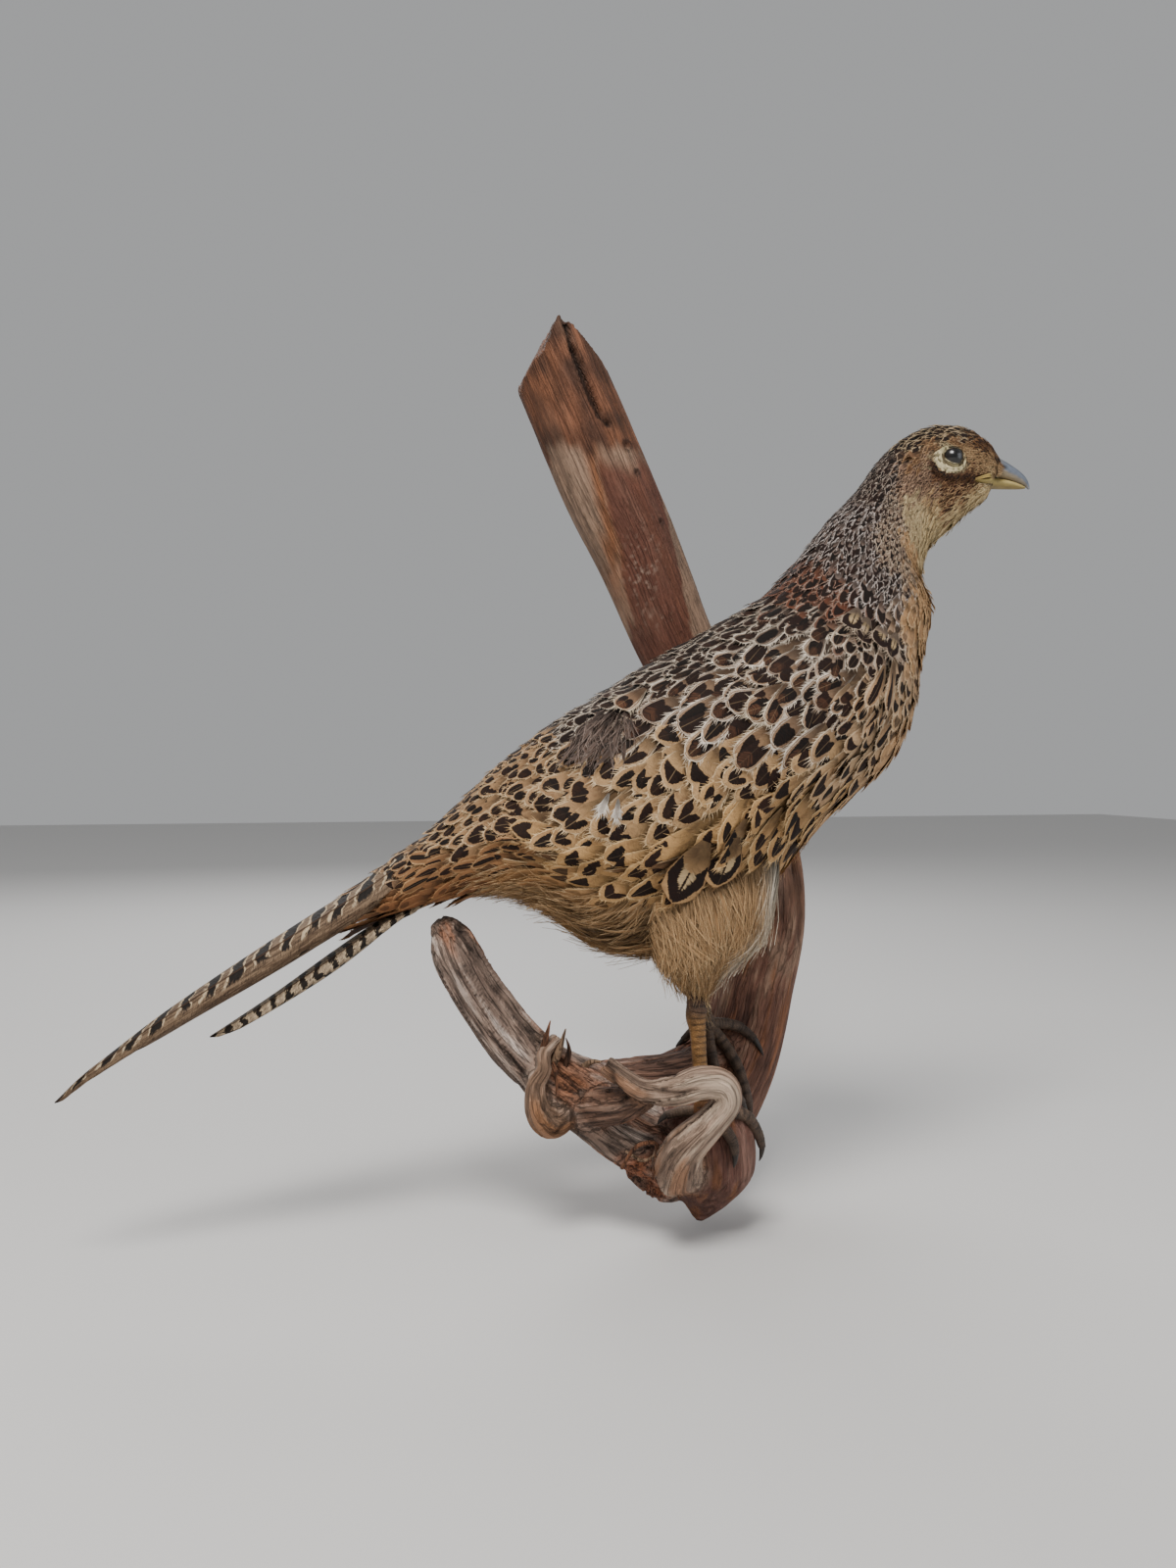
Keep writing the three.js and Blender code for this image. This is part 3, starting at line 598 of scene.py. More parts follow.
def feathers(roots, size, shape, seed, surface=body_surface, depth=None, span=None, numbers=None):
    """Closed thin vanes. A corner (u, v) of a vane lies v times the half width across and
    length * u * (1 - round * v * v) along it, so that its rows run parallel to its rounded tip,
    and it stands off the skin by lift + slope * distance from the root. Fringe spikes stand on
    the margin. All are bent over the surface by the root's own tangents."""
    rng = np.random.default_rng(seed)
    n, shape = len(roots["t"]), {**PLAIN, **shape}
    u, cols = np.asarray(shape["rows"], float), shape["cols"]
    rows, ring = len(u), cols + 2
    v = np.append(np.linspace(-1, 1, cols + 1), 0.0)
    under = np.append(np.zeros(cols + 1), 1.0)
    uu, vv, low = np.repeat(u, ring), np.tile(v, rows), np.tile(under, rows)
    length, half = size["length"][:, None], size["half"][:, None]
    slope = (shape["slope"] * rng.uniform(.8, 1.25, n))[:, None]
    roll = (shape["roll"] + rng.normal(0, shape["ruffle"], n))[:, None]
    curl = (shape["curl"] + rng.normal(0, shape["ruffle"] * .6, n))[:, None]
    sway = rng.normal(0, shape["sway"], n)[:, None]
    lift = (shape["lift"] * rng.uniform(.6, 1.4, n))[:, None]
    lift = lift + size.get("lift", np.zeros(n))[:, None]

    def vane(u_, v_, ragged=0.0):
        """Across, along and above the skin, of places on the vane."""
        wide = np.interp(u_, *zip(*shape["profile"])) * half
        x = v_ * wide * (1 + ragged * np.abs(v_)) + sway * length * u_ ** 2
        y = length * u_ * (1 - shape["round"] * v_ ** 2)
        h = (lift + slope * y * (1 - .3 * u_ ** 2) - shape["camber"] * v_ ** 2 * wide + roll * x
             + curl * length * u_ ** 3)
        return x, y, h

    ragged = rng.normal(0, shape["ragged"], (n, rows * ring))
    x, y, h = vane(uu[None], vv[None], ragged)
    tipness = (uu >= .999)[None]
    y = y * (1 + tipness * rng.uniform(-1.2, .4, y.shape) * shape["ragged"])
    h = h - low[None] * shape["thick"]
    uv_u, uv_v = np.broadcast_to(uu, x.shape), np.broadcast_to(vv, x.shape)
    quads, caps, beneath = vane_faces(rows, cols)

    spikes = shape["spikes"]
    if spikes:
        k = np.arange(spikes)
        edge = np.where(k % 3 == 2, 0, np.where(k % 3 == 0, 1, -1))  # two at the sides, one tip
        su = np.where(edge == 0, 1.0, .55 + .45 * (k + .5) / spikes)[None] * np.ones((n, 1))
        sv = np.where(edge == 0, 0.0, edge)[None] + np.where(
            edge[None] == 0, rng.uniform(-.9, .9, (n, spikes)), 0)
        su = np.clip(su + rng.uniform(-.05, .03, su.shape) * (edge != 0), 0, 1)
        bx, by, bh = vane(su, sv)
        way = sv * rng.uniform(.3, .9, su.shape) + rng.normal(0, .12, su.shape)
        reach = shape["fringe"] * rng.uniform(.5, 1.5, su.shape)
        thin = shape["barb"]
        dx, dy = np.sin(way), np.cos(way)
        bx, by = bx - dx * thin, by - dy * 2 * thin
        rise = rng.uniform(-.02, .22, su.shape)
        corners = (joined(bx - dy * thin, bx + dy * thin, bx, bx + dx * reach),
                   joined(by + dx * thin, by - dx * thin, by, by + dy * reach),
                   joined(bh, bh, bh - thin, bh + rise * reach),
                   su[..., None] + [0, 0, 0, .03],
                   sv[..., None] * [1, 1, 1.03, 1.06] + [-.02, .02, 0, 0])
        x, y, h, uv_u, uv_v = (np.concatenate([a, b.reshape(n, -1)], 1) for a, b in
                               zip((x, y, h, uv_u, uv_v), corners))
        start = rows * ring + 4 * k[:, None]
        needles = np.concatenate([start + np.array(f) for f in
                                  ((0, 1, 3), (1, 2, 3), (2, 0, 3), (0, 2, 1))])
        caps = np.concatenate([caps, needles])

    t0, phi0 = roots["t"], roots["phi"]
    _, down, around, out = lay_of(surface, t0, phi0)
    ahead = unit(down)
    beside = np.cross(ahead, out)
    turn = size.get("turn", np.zeros(n))[:, None]
    way = np.cos(turn) * ahead + np.sin(turn) * beside * np.sign(phi0)[:, None] * -1
    cross = np.cross(way, out)
    g11, g12, g22 = (np.sum(a * b, -1) for a, b in ((down, down), (down, around),
                                                    (around, around)))
    det = g11 * g22 - g12 ** 2

    def steps(d):
        """How far the station and the angle go for one metre along a way on the surface."""
        p, q = np.sum(d * down, -1), np.sum(d * around, -1)
        return (g22 * p - g12 * q) / det, (g11 * q - g12 * p) / det

    (ct, cp), (wt, wp) = steps(cross), steps(way)
    t = t0[:, None] + x * ct[:, None] + y * wt[:, None]
    phi = phi0[:, None] + x * cp[:, None] + y * wp[:, None]
    here, _, _, normal = lay_of(surface, t.ravel(), phi.ravel())
    if depth is None:
        stand = h.ravel() - along(COAT_DEPTH, t.ravel()) * MM
    else:
        stand = h.ravel() - depth
    points = here + normal * stand[:, None]

    m = x.shape[1]
    first = (np.arange(n) * m)[:, None, None]  # of each feather's corners
    faces4 = (quads[None] + first).reshape(-1, 4)
    faces3 = (caps[None] + first).reshape(-1, 3)
    if numbers is None:
        numbers = markings(t0, phi0, seed + 1)
    own = np.repeat(rng.uniform(0, 1, (n, 2)), m, axis=0)
    fields = {title: np.repeat(numbers[:, start:start + 4], m, axis=0) for title, start in (
        ("ground", 0), ("border", 3), ("mark", 7), ("form", 11), ("look", 15))}
    fields["lay"] = np.concatenate([uv_u.reshape(-1, 1), uv_v.reshape(-1, 1), own], 1)
    # The map: each feather is a patch at its root's place, its underside a strip beside it.
    t_low, t_high, a_low, a_high = span or (t0.min() - .3, t0.max() + .3, phi0.min() - .05,
                                           phi0.max() + .05)
    centre = joined((phi0 - a_low) / (a_high - a_low), (t0 - t_low) / (t_high - t_low))
    patch = np.maximum(joined(.8 * roots["dphi"] / (a_high - a_low),
                              .8 * roots["dt"] / (t_high - t_low)), .003)
    local = joined(.36 * uv_v - .1, uv_u * .9 - .45)
    flat = centre[:, None] + local * patch[:, None]
    strip = joined(.38 + .05 * np.abs(uv_v), uv_u * .9 - .45)
    below = centre[:, None] + strip * patch[:, None]
    uv4 = np.where(beneath[None, :, None, None], below[:, quads], flat[:, quads])
    uv = np.concatenate([uv4.reshape(-1, 2), flat[:, caps].reshape(-1, 2)])
    return points, [faces4, faces3], fields, uv


# --- the plumage's finish
def plumage_finish():
    """A vane's ground, border, dark mark with a patch inside it, pale shaft and barb streaks,
    all worked out from the vane's own (u, v) and the numbers it carries. Its colour is darker
    towards the root and in the splits between barbs: painted shade where feathers overlap."""
    f = Finish("plumage", Specular_IOR_Level=.2)
    u, v, one, two = f.field("lay")
    ground, border = f.tint("ground"), f.tint("border")
    border_width = f.field("border")[3]
    place, long, wide, bend = f.field("mark")
    taper, notch, patch, strength = f.field("form")
    streaky, wavy, shaft, ringed = f.field("look")
    out = v.size()
    # Barbs leave the shaft and run out towards the tip: streaks lie along equal u - |v| steps.
    barb = u * 3.6 - out * .75
    streak = f.noise(f.joined(barb * 8.0 + one * 40.0, v * .9 + two * 30.0, one * 50.0), 1.0,
                     3.0, .7)
    blot = f.noise(f.joined(u * 3.2 + two * 30.0, v * 1.2 + one * 30.0, two * 20.0), 1.0, 2.0)
    rag = (streak - .5) * 1.1 + (blot - .5) * 1.0
    three, four = (one * 7.0).part(), (two * 7.0).part()
    along_mark = (u + bend * v * v - place + (one - .5) * .1) / (long * (.75 + three * .5))
    # A shield: its end to the tip is round, its end to the root blunt and wide.
    width = (wide * (along_mark * (taper + four * .4 - .2) + 1.0) * (.75 + two * .5)).most(.12)
    across = v / width
    blunt = (along_mark * -1.0).most(0.0)
    round_end = along_mark.most(0.0)
    inside = (1.0 - blunt * blunt * blunt * blunt - round_end * round_end - across * across
              + rag * 1.1)
    # The border is a smooth arch: distance from the rim by a fourth-power mean of both ways in.
    ahead = (1.0 - (1.0 - u) * 3.8).most(0.0)
    arch = (ahead * ahead * ahead * ahead + out * out * out * out).power(.25)
    margin = 1.0 - arch
    cleft = (1.0 - ((v + one * .3 - .15).size() * 3.2).rise(0.0, 1.0)) * four.rise(.2, .7)
    inside = inside - notch * cleft * (.5 - along_mark).most(0.0) * 1.3
    within = (margin + rag * .12).rise(border_width + ringed * .12,
                                       border_width + ringed * .14 + .05)
    mark = inside.rise(0.0, .14) * strength * within
    further = along_mark - .38
    inner = (1.0 - further * further * 2.2 - across * across * 2.0 + rag * 1.3).rise(.05, .6)
    wedge = out * 2.5 + along_mark * .8 + .2
    drop = (1.0 - wedge * wedge - (along_mark + .5) * (along_mark + .5) * 1.6
            + rag * 2.2).rise(.1, .8) * (out + (streak - .5) * .15).rise(.03, .09)
    chestnut = inner * patch.most(0.0) * strength * (one + two * .6).part().rise(.45, .5)
    wild = rag * (.3 - ringed * .16)
    edge = 1.0 - (margin + wild).rise(border_width * .75, border_width * 1.1)
    edge = edge * (.55 + (blot + streak).rise(.7, 1.15) * .45)
    ring = ((margin + rag * .14 - border_width - .105).size() * -1.0 + .036).rise(
        0.0, .022) * ringed * (.5 + streak.rise(.35, .6) * .5)
    rim = f.mix(two.rise(.3, 1.0) * .45 + (1.0 - streak.rise(.3, .6)) * .35, border, ground)
    dark = f.mix(two * .5 + (streak - .5) * .5, "0d0603", "2a140b")
    waves = f.noise(f.joined(u * 46.0 + blot * 6.0, v * 2.2, one * 30.0), 1.0, 2.0)
    line = (1.0 - (out * (1.6 - u)).rise(.012, .04)) * shaft * one.rise(.3, .7)
    colour = f.layered(
        ground, ((blot + streak * .5).rise(.72, .95) * .45, "5a3d28"), (edge * .97, rim),
        (ring * .9, border), (mark, dark),
        (chestnut * .75, f.mix(streak.rise(.35, .6), "3d2416", "6b4630")),
        (drop * (-patch).most(0.0) * strength, "b99f78"),
        (waves.rise(.5, .62) * wavy * .7, "3a2517"), (line * .6, "b99b74"))
    # Darker in the splits between barbs and towards the root, where each feather lies under the
    # next: painted shade.
    split = 1.0 - streak.rise(.3, .42)
    light = (.66 + streak * streaky * .85 - split * .22 + (one - .5) * .22) * (
        .36 + u.rise(.2, .62) * .66)
    return f.finish(f.shade(colour, light), .62 + streak * .25, relief=streak + line * .4,
                    depth=.0005, strength=.9)


PLUMAGE = plumage_finish()


def build_plumage(name, parts):
    """Joins feathered parts to one piece in the coat's finish."""
    build_piece(name, parts, PLUMAGE, crease=50)


# Outlines of a vane, from root to tip: place along it and share of its half width.
SOFT = [(0, .4), (.35, .9), (.65, 1), (.9, .8), (1, .45)]
ROUND = [(0, .25), (.35, .8), (.6, 1), (.85, .98), (.92, .88), (.97, .7), (1, .46)]
LOCK = [(0, .5), (.3, 1), (.6, .8), (.85, .45), (1, .06)]


def coat(roots, shape, seed, overlap=2.1, fullness=.72, stray=.12, **more):
    """Vanes as long as the rows are apart times the overlap, a little out of line."""
    rng = np.random.default_rng(seed + 500)
    n = len(roots["t"])
    size = {"length": roots["along"] * overlap * rng.uniform(.85, 1.15, n),
            "half": roots["across"] * fullness * rng.uniform(.85, 1.15, n),
            "turn": rng.normal(0, stray, n)}
    return feathers(roots, size, shape, seed, **more)


def regions(roots):
    """Stations broken up a little, and masks of the roots on wing, belly, front and scapulars."""
    rng = np.random.default_rng(5)
    n = len(roots["t"])
    t = roots["t"] + rng.normal(0, .12, n)
    a = side_angle(roots["phi"]) + rng.normal(0, 2.0, n)
    upper, lower = along(WING_UPPER, t), along(WING_LOWER, t)
    wing = ((a > upper + 4) & (a < lower - 1) & (t > 11.0) & (t < 17.2))
    scapular = ((a > 44) & (a < 98) & (t > 9.5) & (t <= 12.2) & ~wing)
    belly = (a > 116 + 9 * np.abs(t - 15.2)) & (t > 13.0) & (t < 17.6)
    front = ((a >= lower - 4) | (a > 112)) & (t > 8.1) & (t < 15.2) & ~wing & ~belly
    return dict(t=t, wing=wing, belly=belly, front=front, scapular=scapular)


# Shapes of feather: where its rows of corners are, how many columns it has, its outline, how
# round its tip is, how it rises from the skin, then spikes, lengths in metres and disorder.
NECK = dict(rows=[0, .4, .7, .9, 1], cols=3, profile=SOFT, round=.32, slope=.12, camber=.12,
            spikes=9, fringe=.0016, barb=.00016, thick=.0002, ruffle=.07)
BACK = dict(rows=[0, .35, .6, .8, .9, .96, 1], cols=4, profile=ROUND, round=.08, slope=.105,
            camber=.14, spikes=18, fringe=.002, barb=.00017, ruffle=.08)
COVERT = dict(rows=[0, .3, .5, .65, .8, .9, .96, 1], cols=6, profile=ROUND, round=.09, slope=.095,
              camber=.14, spikes=30, fringe=.003, barb=.0002, ruffle=.09)

# Distance between rows at each station, and between the roots of a row, in millimetres.
NECK_ROWS = [(4.6, 2.8), (6, 3.2), (7.6, 3.9), (8.3, 4.8)]
BACK_ROWS = [(8.1, 6.0), (9.0, 6.2), (10, 6.4), (13, 7.2), (16, 7.6), (20, 7.2)]
FRONT_ROWS = [(8, 5.0), (10, 7), (13, 9)]
FRONT_PITCH = [(8, 4.5), (10, 6), (13, 8)]

parts = {}
neck = rows_of_roots((4.5, 8.2), NECK_ROWS, NECK_ROWS, 12, .26, wide=.78)
parts["feathers_neck"] = coat(neck, NECK, 22, overlap=2.6, fullness=.66, stray=.16)

back = rows_of_roots((8.05, 20.2), BACK_ROWS, BACK_ROWS, 11, .2, wide=.72)
area = regions(back)
rest = ~(area["wing"] | area["belly"] | area["front"] | area["scapular"])
parts["feathers_back"] = coat(only(back, rest & (area["t"] < 13)), BACK, 23, overlap=2.5,
                              stray=.16)
parts["feathers_rump"] = coat(only(back, rest & (area["t"] >= 13)), BACK, 25, overlap=2.5,
                              stray=.16)
shoulder = rows_of_roots((9.4, 12.6), [(0, 8.4)], [(0, 6.8)], 13, .24)
parts["feathers_scapular"] = coat(only(shoulder, regions(shoulder)["scapular"]),
                                  dict(COVERT, fringe=.0026), 24, overlap=2.6, fullness=.74,
                                  stray=.2)

wings = rows_of_roots((10.9, 17.4), [(0, 10)], [(0, 8.8)], 31, .28)
wings = only(wings, regions(wings)["wing"])
for side, name in SIDES:
    parts["feathers_wing_" + name] = coat(only(wings, wings["phi"] * side > 0), COVERT, 32 + side,
                                          overlap=2.5, stray=.18)

breast = rows_of_roots((8.0, 15.4), FRONT_ROWS, FRONT_PITCH, 41, .2)
area = regions(breast)
parts["feathers_breast"] = coat(only(breast, area["front"] & ~area["scapular"]), BACK, 42,
                                overlap=2.6)
for name, part in parts.items():
    build_plumage(name, [part])

# The skin under the coat: the body's surface drawn in by the coat's depth, and both thighs.
SKIN_NODES = ("head", "neck", "trunk", "rump", "wing_right", "wing_left", "thigh_right",
              "thigh_left")


def closed_sheet(surface, stations, rows, cols, depth, seed):
    """A grid of rows and columns of a surface, drawn in along its normal and closed at its ends."""
    t, phi = np.meshgrid(np.linspace(*stations, rows),
                         np.linspace(-math.pi, math.pi, cols, endpoint=False), indexing="ij")
    t, phi = t.ravel(), phi.ravel()
    here, _, _, normal = lay_of(surface, t, phi)
    inner = here - normal * depth(t)[:, None]
    numbers = markings(t, phi, seed) if surface is body_surface else np.repeat(
        KIND_NUMBERS["belly"][None], len(t), 0)
    # The ground colour of the feathers there, darker where their marks are strong.
    tone = numbers[:, :3] * (1 - .5 * numbers[:, 14:15])
    inner = np.concatenate([inner, [inner[:cols].mean(0), inner[-cols:].mean(0)]])
    tone = np.concatenate([tone, tone[[0, -1]]])
    return inner, shut_faces(rows, cols), {"ground": carried(tone)}


skin_finish = Finish("skin", Specular_IOR_Level=.2)
# The skin is darkened to between a third and four fifths of that colour: painted shade under the
# coat.
grain = skin_finish.noise(skin_finish.place(), 300.0)
skin_finish.finish(skin_finish.shade(skin_finish.tint("ground"), .3 + grain * .5), .9)
SKIN_GAP = .0002  # how far the skin lies below the roots of the body's feathers, in metres
THIGH_COAT = .0024
sheets = [closed_sheet(body_surface, (0, 20), 260, 180,
                       lambda t: along(COAT_DEPTH, t) * MM + SKIN_GAP, 3)]
for side in (1, -1):
    sheets.append(closed_sheet(thigh_surface(side), (.3, 3.95), 50, 40,
                               lambda t: THIGH_COAT + 0 * t, 3))
build_piece("skin", sheets, skin_finish.material, SKIN_NODES, crease=50)


# --- head: feathers, lids, gape
RING_CENTRE = np.array([136.4, 32.8])  # X and Z of the bare ring, which the eye sits high in
RING_HALF = np.array([8.0, 6.7])
APERTURE = np.array([5.45, 3.85])  # half width and half height between the lids
GAPE = [(165.5, 27.7), (160, 26.8), (155, 25.4), (150.6, 24.0)]  # X and Z, back to its corner


def head_place(x, z):
    """Station and angle of a place on the head's side, by Newton steps on the body's surface."""
    x, z = np.broadcast_arrays(np.asarray(x, float), np.asarray(z, float))
    t, phi = np.full(x.shape, 2.6), np.full(x.shape, 1.35)
    for _ in range(9):
        here, down, around, _ = lay_of(body_surface, t, phi)
        gap = joined(x, z) * MM - here[..., ::2]
        a, b, c, d = down[..., 0], around[..., 0], down[..., 2], around[..., 2]
        det = a * d - b * c
        det = np.where(np.abs(det) < 1e-9, 1e-9, det)
        t = t + np.clip((d * gap[..., 0] - b * gap[..., 1]) / det, -.6, .6)
        phi = np.clip(phi + np.clip((a * gap[..., 1] - c * gap[..., 0]) / det, -.3, .3), .15, 2.9)
    return t, phi


def on_head(x, z):
    """The head's outer half width at a place."""
    return -(body_surface(*head_place(x, z))[..., 1] / MM - BIRD_Y)


def head_flow(roots, length):
    """Feathers part round the eye's ring: roots inside it and at the gape go, and those in front
    of it turn away and are shorter."""
    here, down, _, _ = lay_of(body_surface, roots["t"], roots["phi"])
    place = here[:, ::2] / MM
    way = unit(down[:, ::2])
    side = side_angle(roots["phi"]) > 30
    off = (place - RING_CENTRE) / RING_HALF  # 1 long at the ring's rim
    far = np.linalg.norm(off, axis=1)
    inward = np.clip(-np.sum(way * unit(off / RING_HALF), 1), 0, 1)
    near = (1 - ramp(far, 1.0, 2.1)) * side
    turn = 1.15 * inward * near * np.where(off[:, 1] > -.05, -1, 1)
    shorter = 1 - .55 * np.clip(inward * 1.5, 0, 1) * near
    fine = spline(GAPE, np.linspace(0, len(GAPE) - 1, 40))
    mouth = np.min(np.linalg.norm(place[:, None] - fine[None], axis=2), axis=1)
    ahead_of = (mouth < 3.2) & (place[:, 0] < 168)
    shorter = shorter * np.where(ahead_of, .62, 1)
    rim = .98 - .3 * (patches(*place.T, .9, 33) > .25)
    lower_lip = np.min(np.linalg.norm(place[:, None] - fine[None] + [0, 1.6], axis=2), axis=1)
    bare = (mouth < 1.0) | (lower_lip < .4 + 1.5 * ramp(place[:, 0], 151, 157))
    keep = ~((far < rim) & side) & ~(bare & side)
    return keep, turn, length * shorter


TUFT = dict(rows=[0, .35, .7, 1], cols=2, profile=SOFT, round=.3, slope=.14, camber=.12, spikes=7,
            fringe=.0013, barb=.00012, thick=.00015, lift=.0002, ruffle=.07, sway=.07)
WISP = dict(rows=[0, .3, .65, 1], cols=2, profile=LOCK, round=0, slope=.15, camber=.2, spikes=3,
            fringe=.0016, barb=.0001, thick=.00014, lift=.0002, ruffle=.09, sway=.1, ragged=.1)
HEAD_ROWS = [(0, 1.6), (.5, 1.8), (2, 2.1), (4.7, 2.7)]
HEAD_SPAN = (-.5, 6.6, -math.pi, math.pi)  # stations and angles that the head's map covers
head_parts = []
for shape, wide, seed, low_angle, high_angle in ((TUFT, .82, 21, -1, 60), (WISP, .66, 22, 54, 181)):
    coarse = 1.6 if shape is TUFT else 1.0
    roots = rows_of_roots((.02, 4.7 if shape is TUFT else 6.3), HEAD_ROWS, HEAD_ROWS, seed, .25,
                          wide, coarse)
    rng = np.random.default_rng(seed)
    t, a = roots["t"], side_angle(roots["phi"])
    back_edge = 14 * ramp(t, 3.6, 4.6) if shape is TUFT else 0 * t
    roots = only(roots, (a > low_angle) & (a < high_angle + back_edge) & (
        (t < 4.7) | (a > 94 + 17 * (t - 4.7))))
    base = along([(-.2, 3.2), (1, 4.2), (3, 5.2), (5, 6.6)], roots["t"]) * MM * coarse ** .8
    if shape is WISP:
        a = side_angle(roots["phi"])
        base = base * (1 + .75 * ramp(a, 112, 135)) * 1.1
    keep, turn, length = head_flow(roots, base)
    roots, turn, length = only(roots, keep), turn[keep], length[keep]
    n = len(turn)
    half = roots["across"] * (.74 if shape is TUFT else .62) * rng.uniform(.8, 1.2, n)
    head_parts.append(feathers(roots, {"length": length * rng.uniform(.85, 1.2, n), "half": half,
                                       "turn": turn + rng.normal(0, .14, n)}, shape, seed,
                               span=HEAD_SPAN))


def short_feathers(t, phi, rng, seed, length, half, lift, turned, disorder, **more):
    """Short feathers at the same places on both sides of the head, with sizes between bounds."""
    n = len(t)
    for side in (1, -1):
        roots = dict(t=t, phi=phi * side, dt=np.full(n, .03), dphi=np.full(n, .03))
        size = {"length": rng.uniform(*length, n), "half": rng.uniform(*half, n),
                "turn": turned + rng.normal(0, disorder, n), "lift": rng.uniform(*lift, n)}
        head_parts.append(feathers(roots, size, TUFT, seed, span=HEAD_SPAN, **more))


# A line of short dark feathers under the eye's ring, on to the corner of the mouth: X and Z.
LASHES = [(126.9, 31.2), (128.3, 27.9), (131.8, 25.4), (137, 24.3), (141.8, 24.5), (146, 25.2),
          (149.6, 24.4)]
rng = np.random.default_rng(36)
path = np.repeat(np.linspace(0, len(LASHES) - 1, 26), 2)
spots = spline(LASHES, path) + rng.normal(0, .3, (len(path), 2)) + [.6, .3]
short_feathers(*head_place(*spots.T), rng, 37, (.0018, .0032), (.00045, .0008), (.0009, .0014), 0,
               .3, numbers=np.repeat(KIND_NUMBERS["rim"][None], len(path), 0))
# Short stiff feathers point forward over the root of the bill, down to the mouth.
rng = np.random.default_rng(38)
t, a = rng.uniform(.1, .55, 34), rng.uniform(70, 112, 34)
short_feathers(t, np.radians(a), rng, 39, (.0028, .0046), (.0004, .0007), (.0002, .0006), math.pi,
               .25)
build_plumage("feathers_crown", head_parts[:1])
build_plumage("feathers_face", head_parts[1:])


def eyelids(side):
    """A ring shut on itself: it leaves the eyeball at the aperture, rolls out over a small rim and
    runs back to the head's skin, with folds round the eye and small knobs, then returns
    beneath. Distance from the aperture w is 0 at the eye and 1 under the feathers."""
    cols = 120
    w = np.concatenate([[-.06, -.02, .01, .035, .06, .09, .13], np.linspace(.17, 1.0, 34)])
    a = 2 * math.pi * np.arange(cols)[None] / cols
    tilt = math.radians(-9)
    ex, ez = APERTURE[0] * np.cos(a), APERTURE[1] * np.sin(a)
    inner = joined(EYE_CENTRE[0] + ex * math.cos(tilt) - ez * math.sin(tilt),
                   EYE_CENTRE[2] + ex * math.sin(tilt) + ez * math.cos(tilt))
    outer = joined(RING_CENTRE[0] + RING_HALF[0] * 1.16 * np.cos(a),
                   RING_CENTRE[1] + RING_HALF[1] * 1.18 * np.sin(a))
    plan = inner + (outer - inner) * w[:, None, None]
    x, z = plan[..., 0], plan[..., 1]
    away = np.hypot(x - EYE_CENTRE[0], z - EYE_CENTRE[2])
    ball = EYE_CENTRE[1] + np.sqrt(np.maximum(EYE_RADIUS ** 2 - away ** 2, 2.0))
    head = on_head(np.clip(x, 120, 160), np.clip(z, 18, 46)) - 1.15 - .75 * ramp(w, .6, 1)[:, None]
    blend = ramp(w, .04, .42)[:, None]
    y = ball * (1 - blend) + head * blend
    ww = w[:, None]
    rim = np.exp(-((ww - .06) / .04) ** 2)
    y = y + .42 * rim - .5 * ramp(-ww, .0, .05) + .1
    drift = patches(x, z, 2.4, 31)
    folds = np.sin(ww * 34 + 1.6 * drift + 1.2 * np.cos(a)) * ramp(ww, .1, .2) * (
        1 - ramp(ww, .5, .9))
    knobs = patches(x, z, .9, 32)
    y = y + .1 * folds + .24 * np.maximum(knobs, -.3) * ramp(ww, .12, .25)
    below = y - (.25 + 1.6 * ramp(ww, -.06, .4))
    front = joined(x, -side * y + BIRD_Y, z)
    under = joined(x, -side * below + BIRD_Y, z)[::-1]
    rows = 2 * len(w)
    points = np.concatenate([front, under]).reshape(-1, 3)
    faces = grid_faces(rows + 1, cols) % (rows * cols)
    if side < 0:
        faces = faces[:, ::-1]
    # Lighter on the raised knobs and the crests of the folds, darker in the hollows between knobs:
    # painted highlight and shade on the relief, over the ring's own mottles.
    cream = lit("b8ab87", (1 + .45 * knobs + .16 * drift) * (1 + .14 * folds))
    blots = patches(x, z, 1.9, 34) + .3 * (np.cos(a - 1.0) - .1)
    cream = over(cream, "8d8662", ramp(blots, 0, .5) * .75)
    cream = over(cream, "5a5138", ramp(-knobs, .12, .4) * .85)
    cream = over(cream, "2b231d", rim ** 2 * .95 + 0 * x)
    cream = over(cream, "8a6e4c", ramp(ww + .1 * drift, .78, 1.0))
    tone = np.concatenate([cream, cream[::-1]]).reshape(-1, 3)
    return points * MM, [faces], {"tone": carried(tone)}


def bare_finish():
    """Dry bare skin: small round cells parted by finer lines."""
    f = Finish("bare_skin", Specular_IOR_Level=.3)
    cells = f.cells(f.place(), 1500.0)
    dust = f.noise(f.place(), 900.0, 3.0)
    return f.finish(f.shade(f.tint("tone"), 1.12 - cells * .35 + (dust - .5) * .3),
                    .62 + dust * .2, relief=dust * .4 - cells, depth=.0003, strength=.8)


BARE = bare_finish()
for side, name in SIDES:
    build_piece("lids_" + name, [eyelids(side)], BARE)


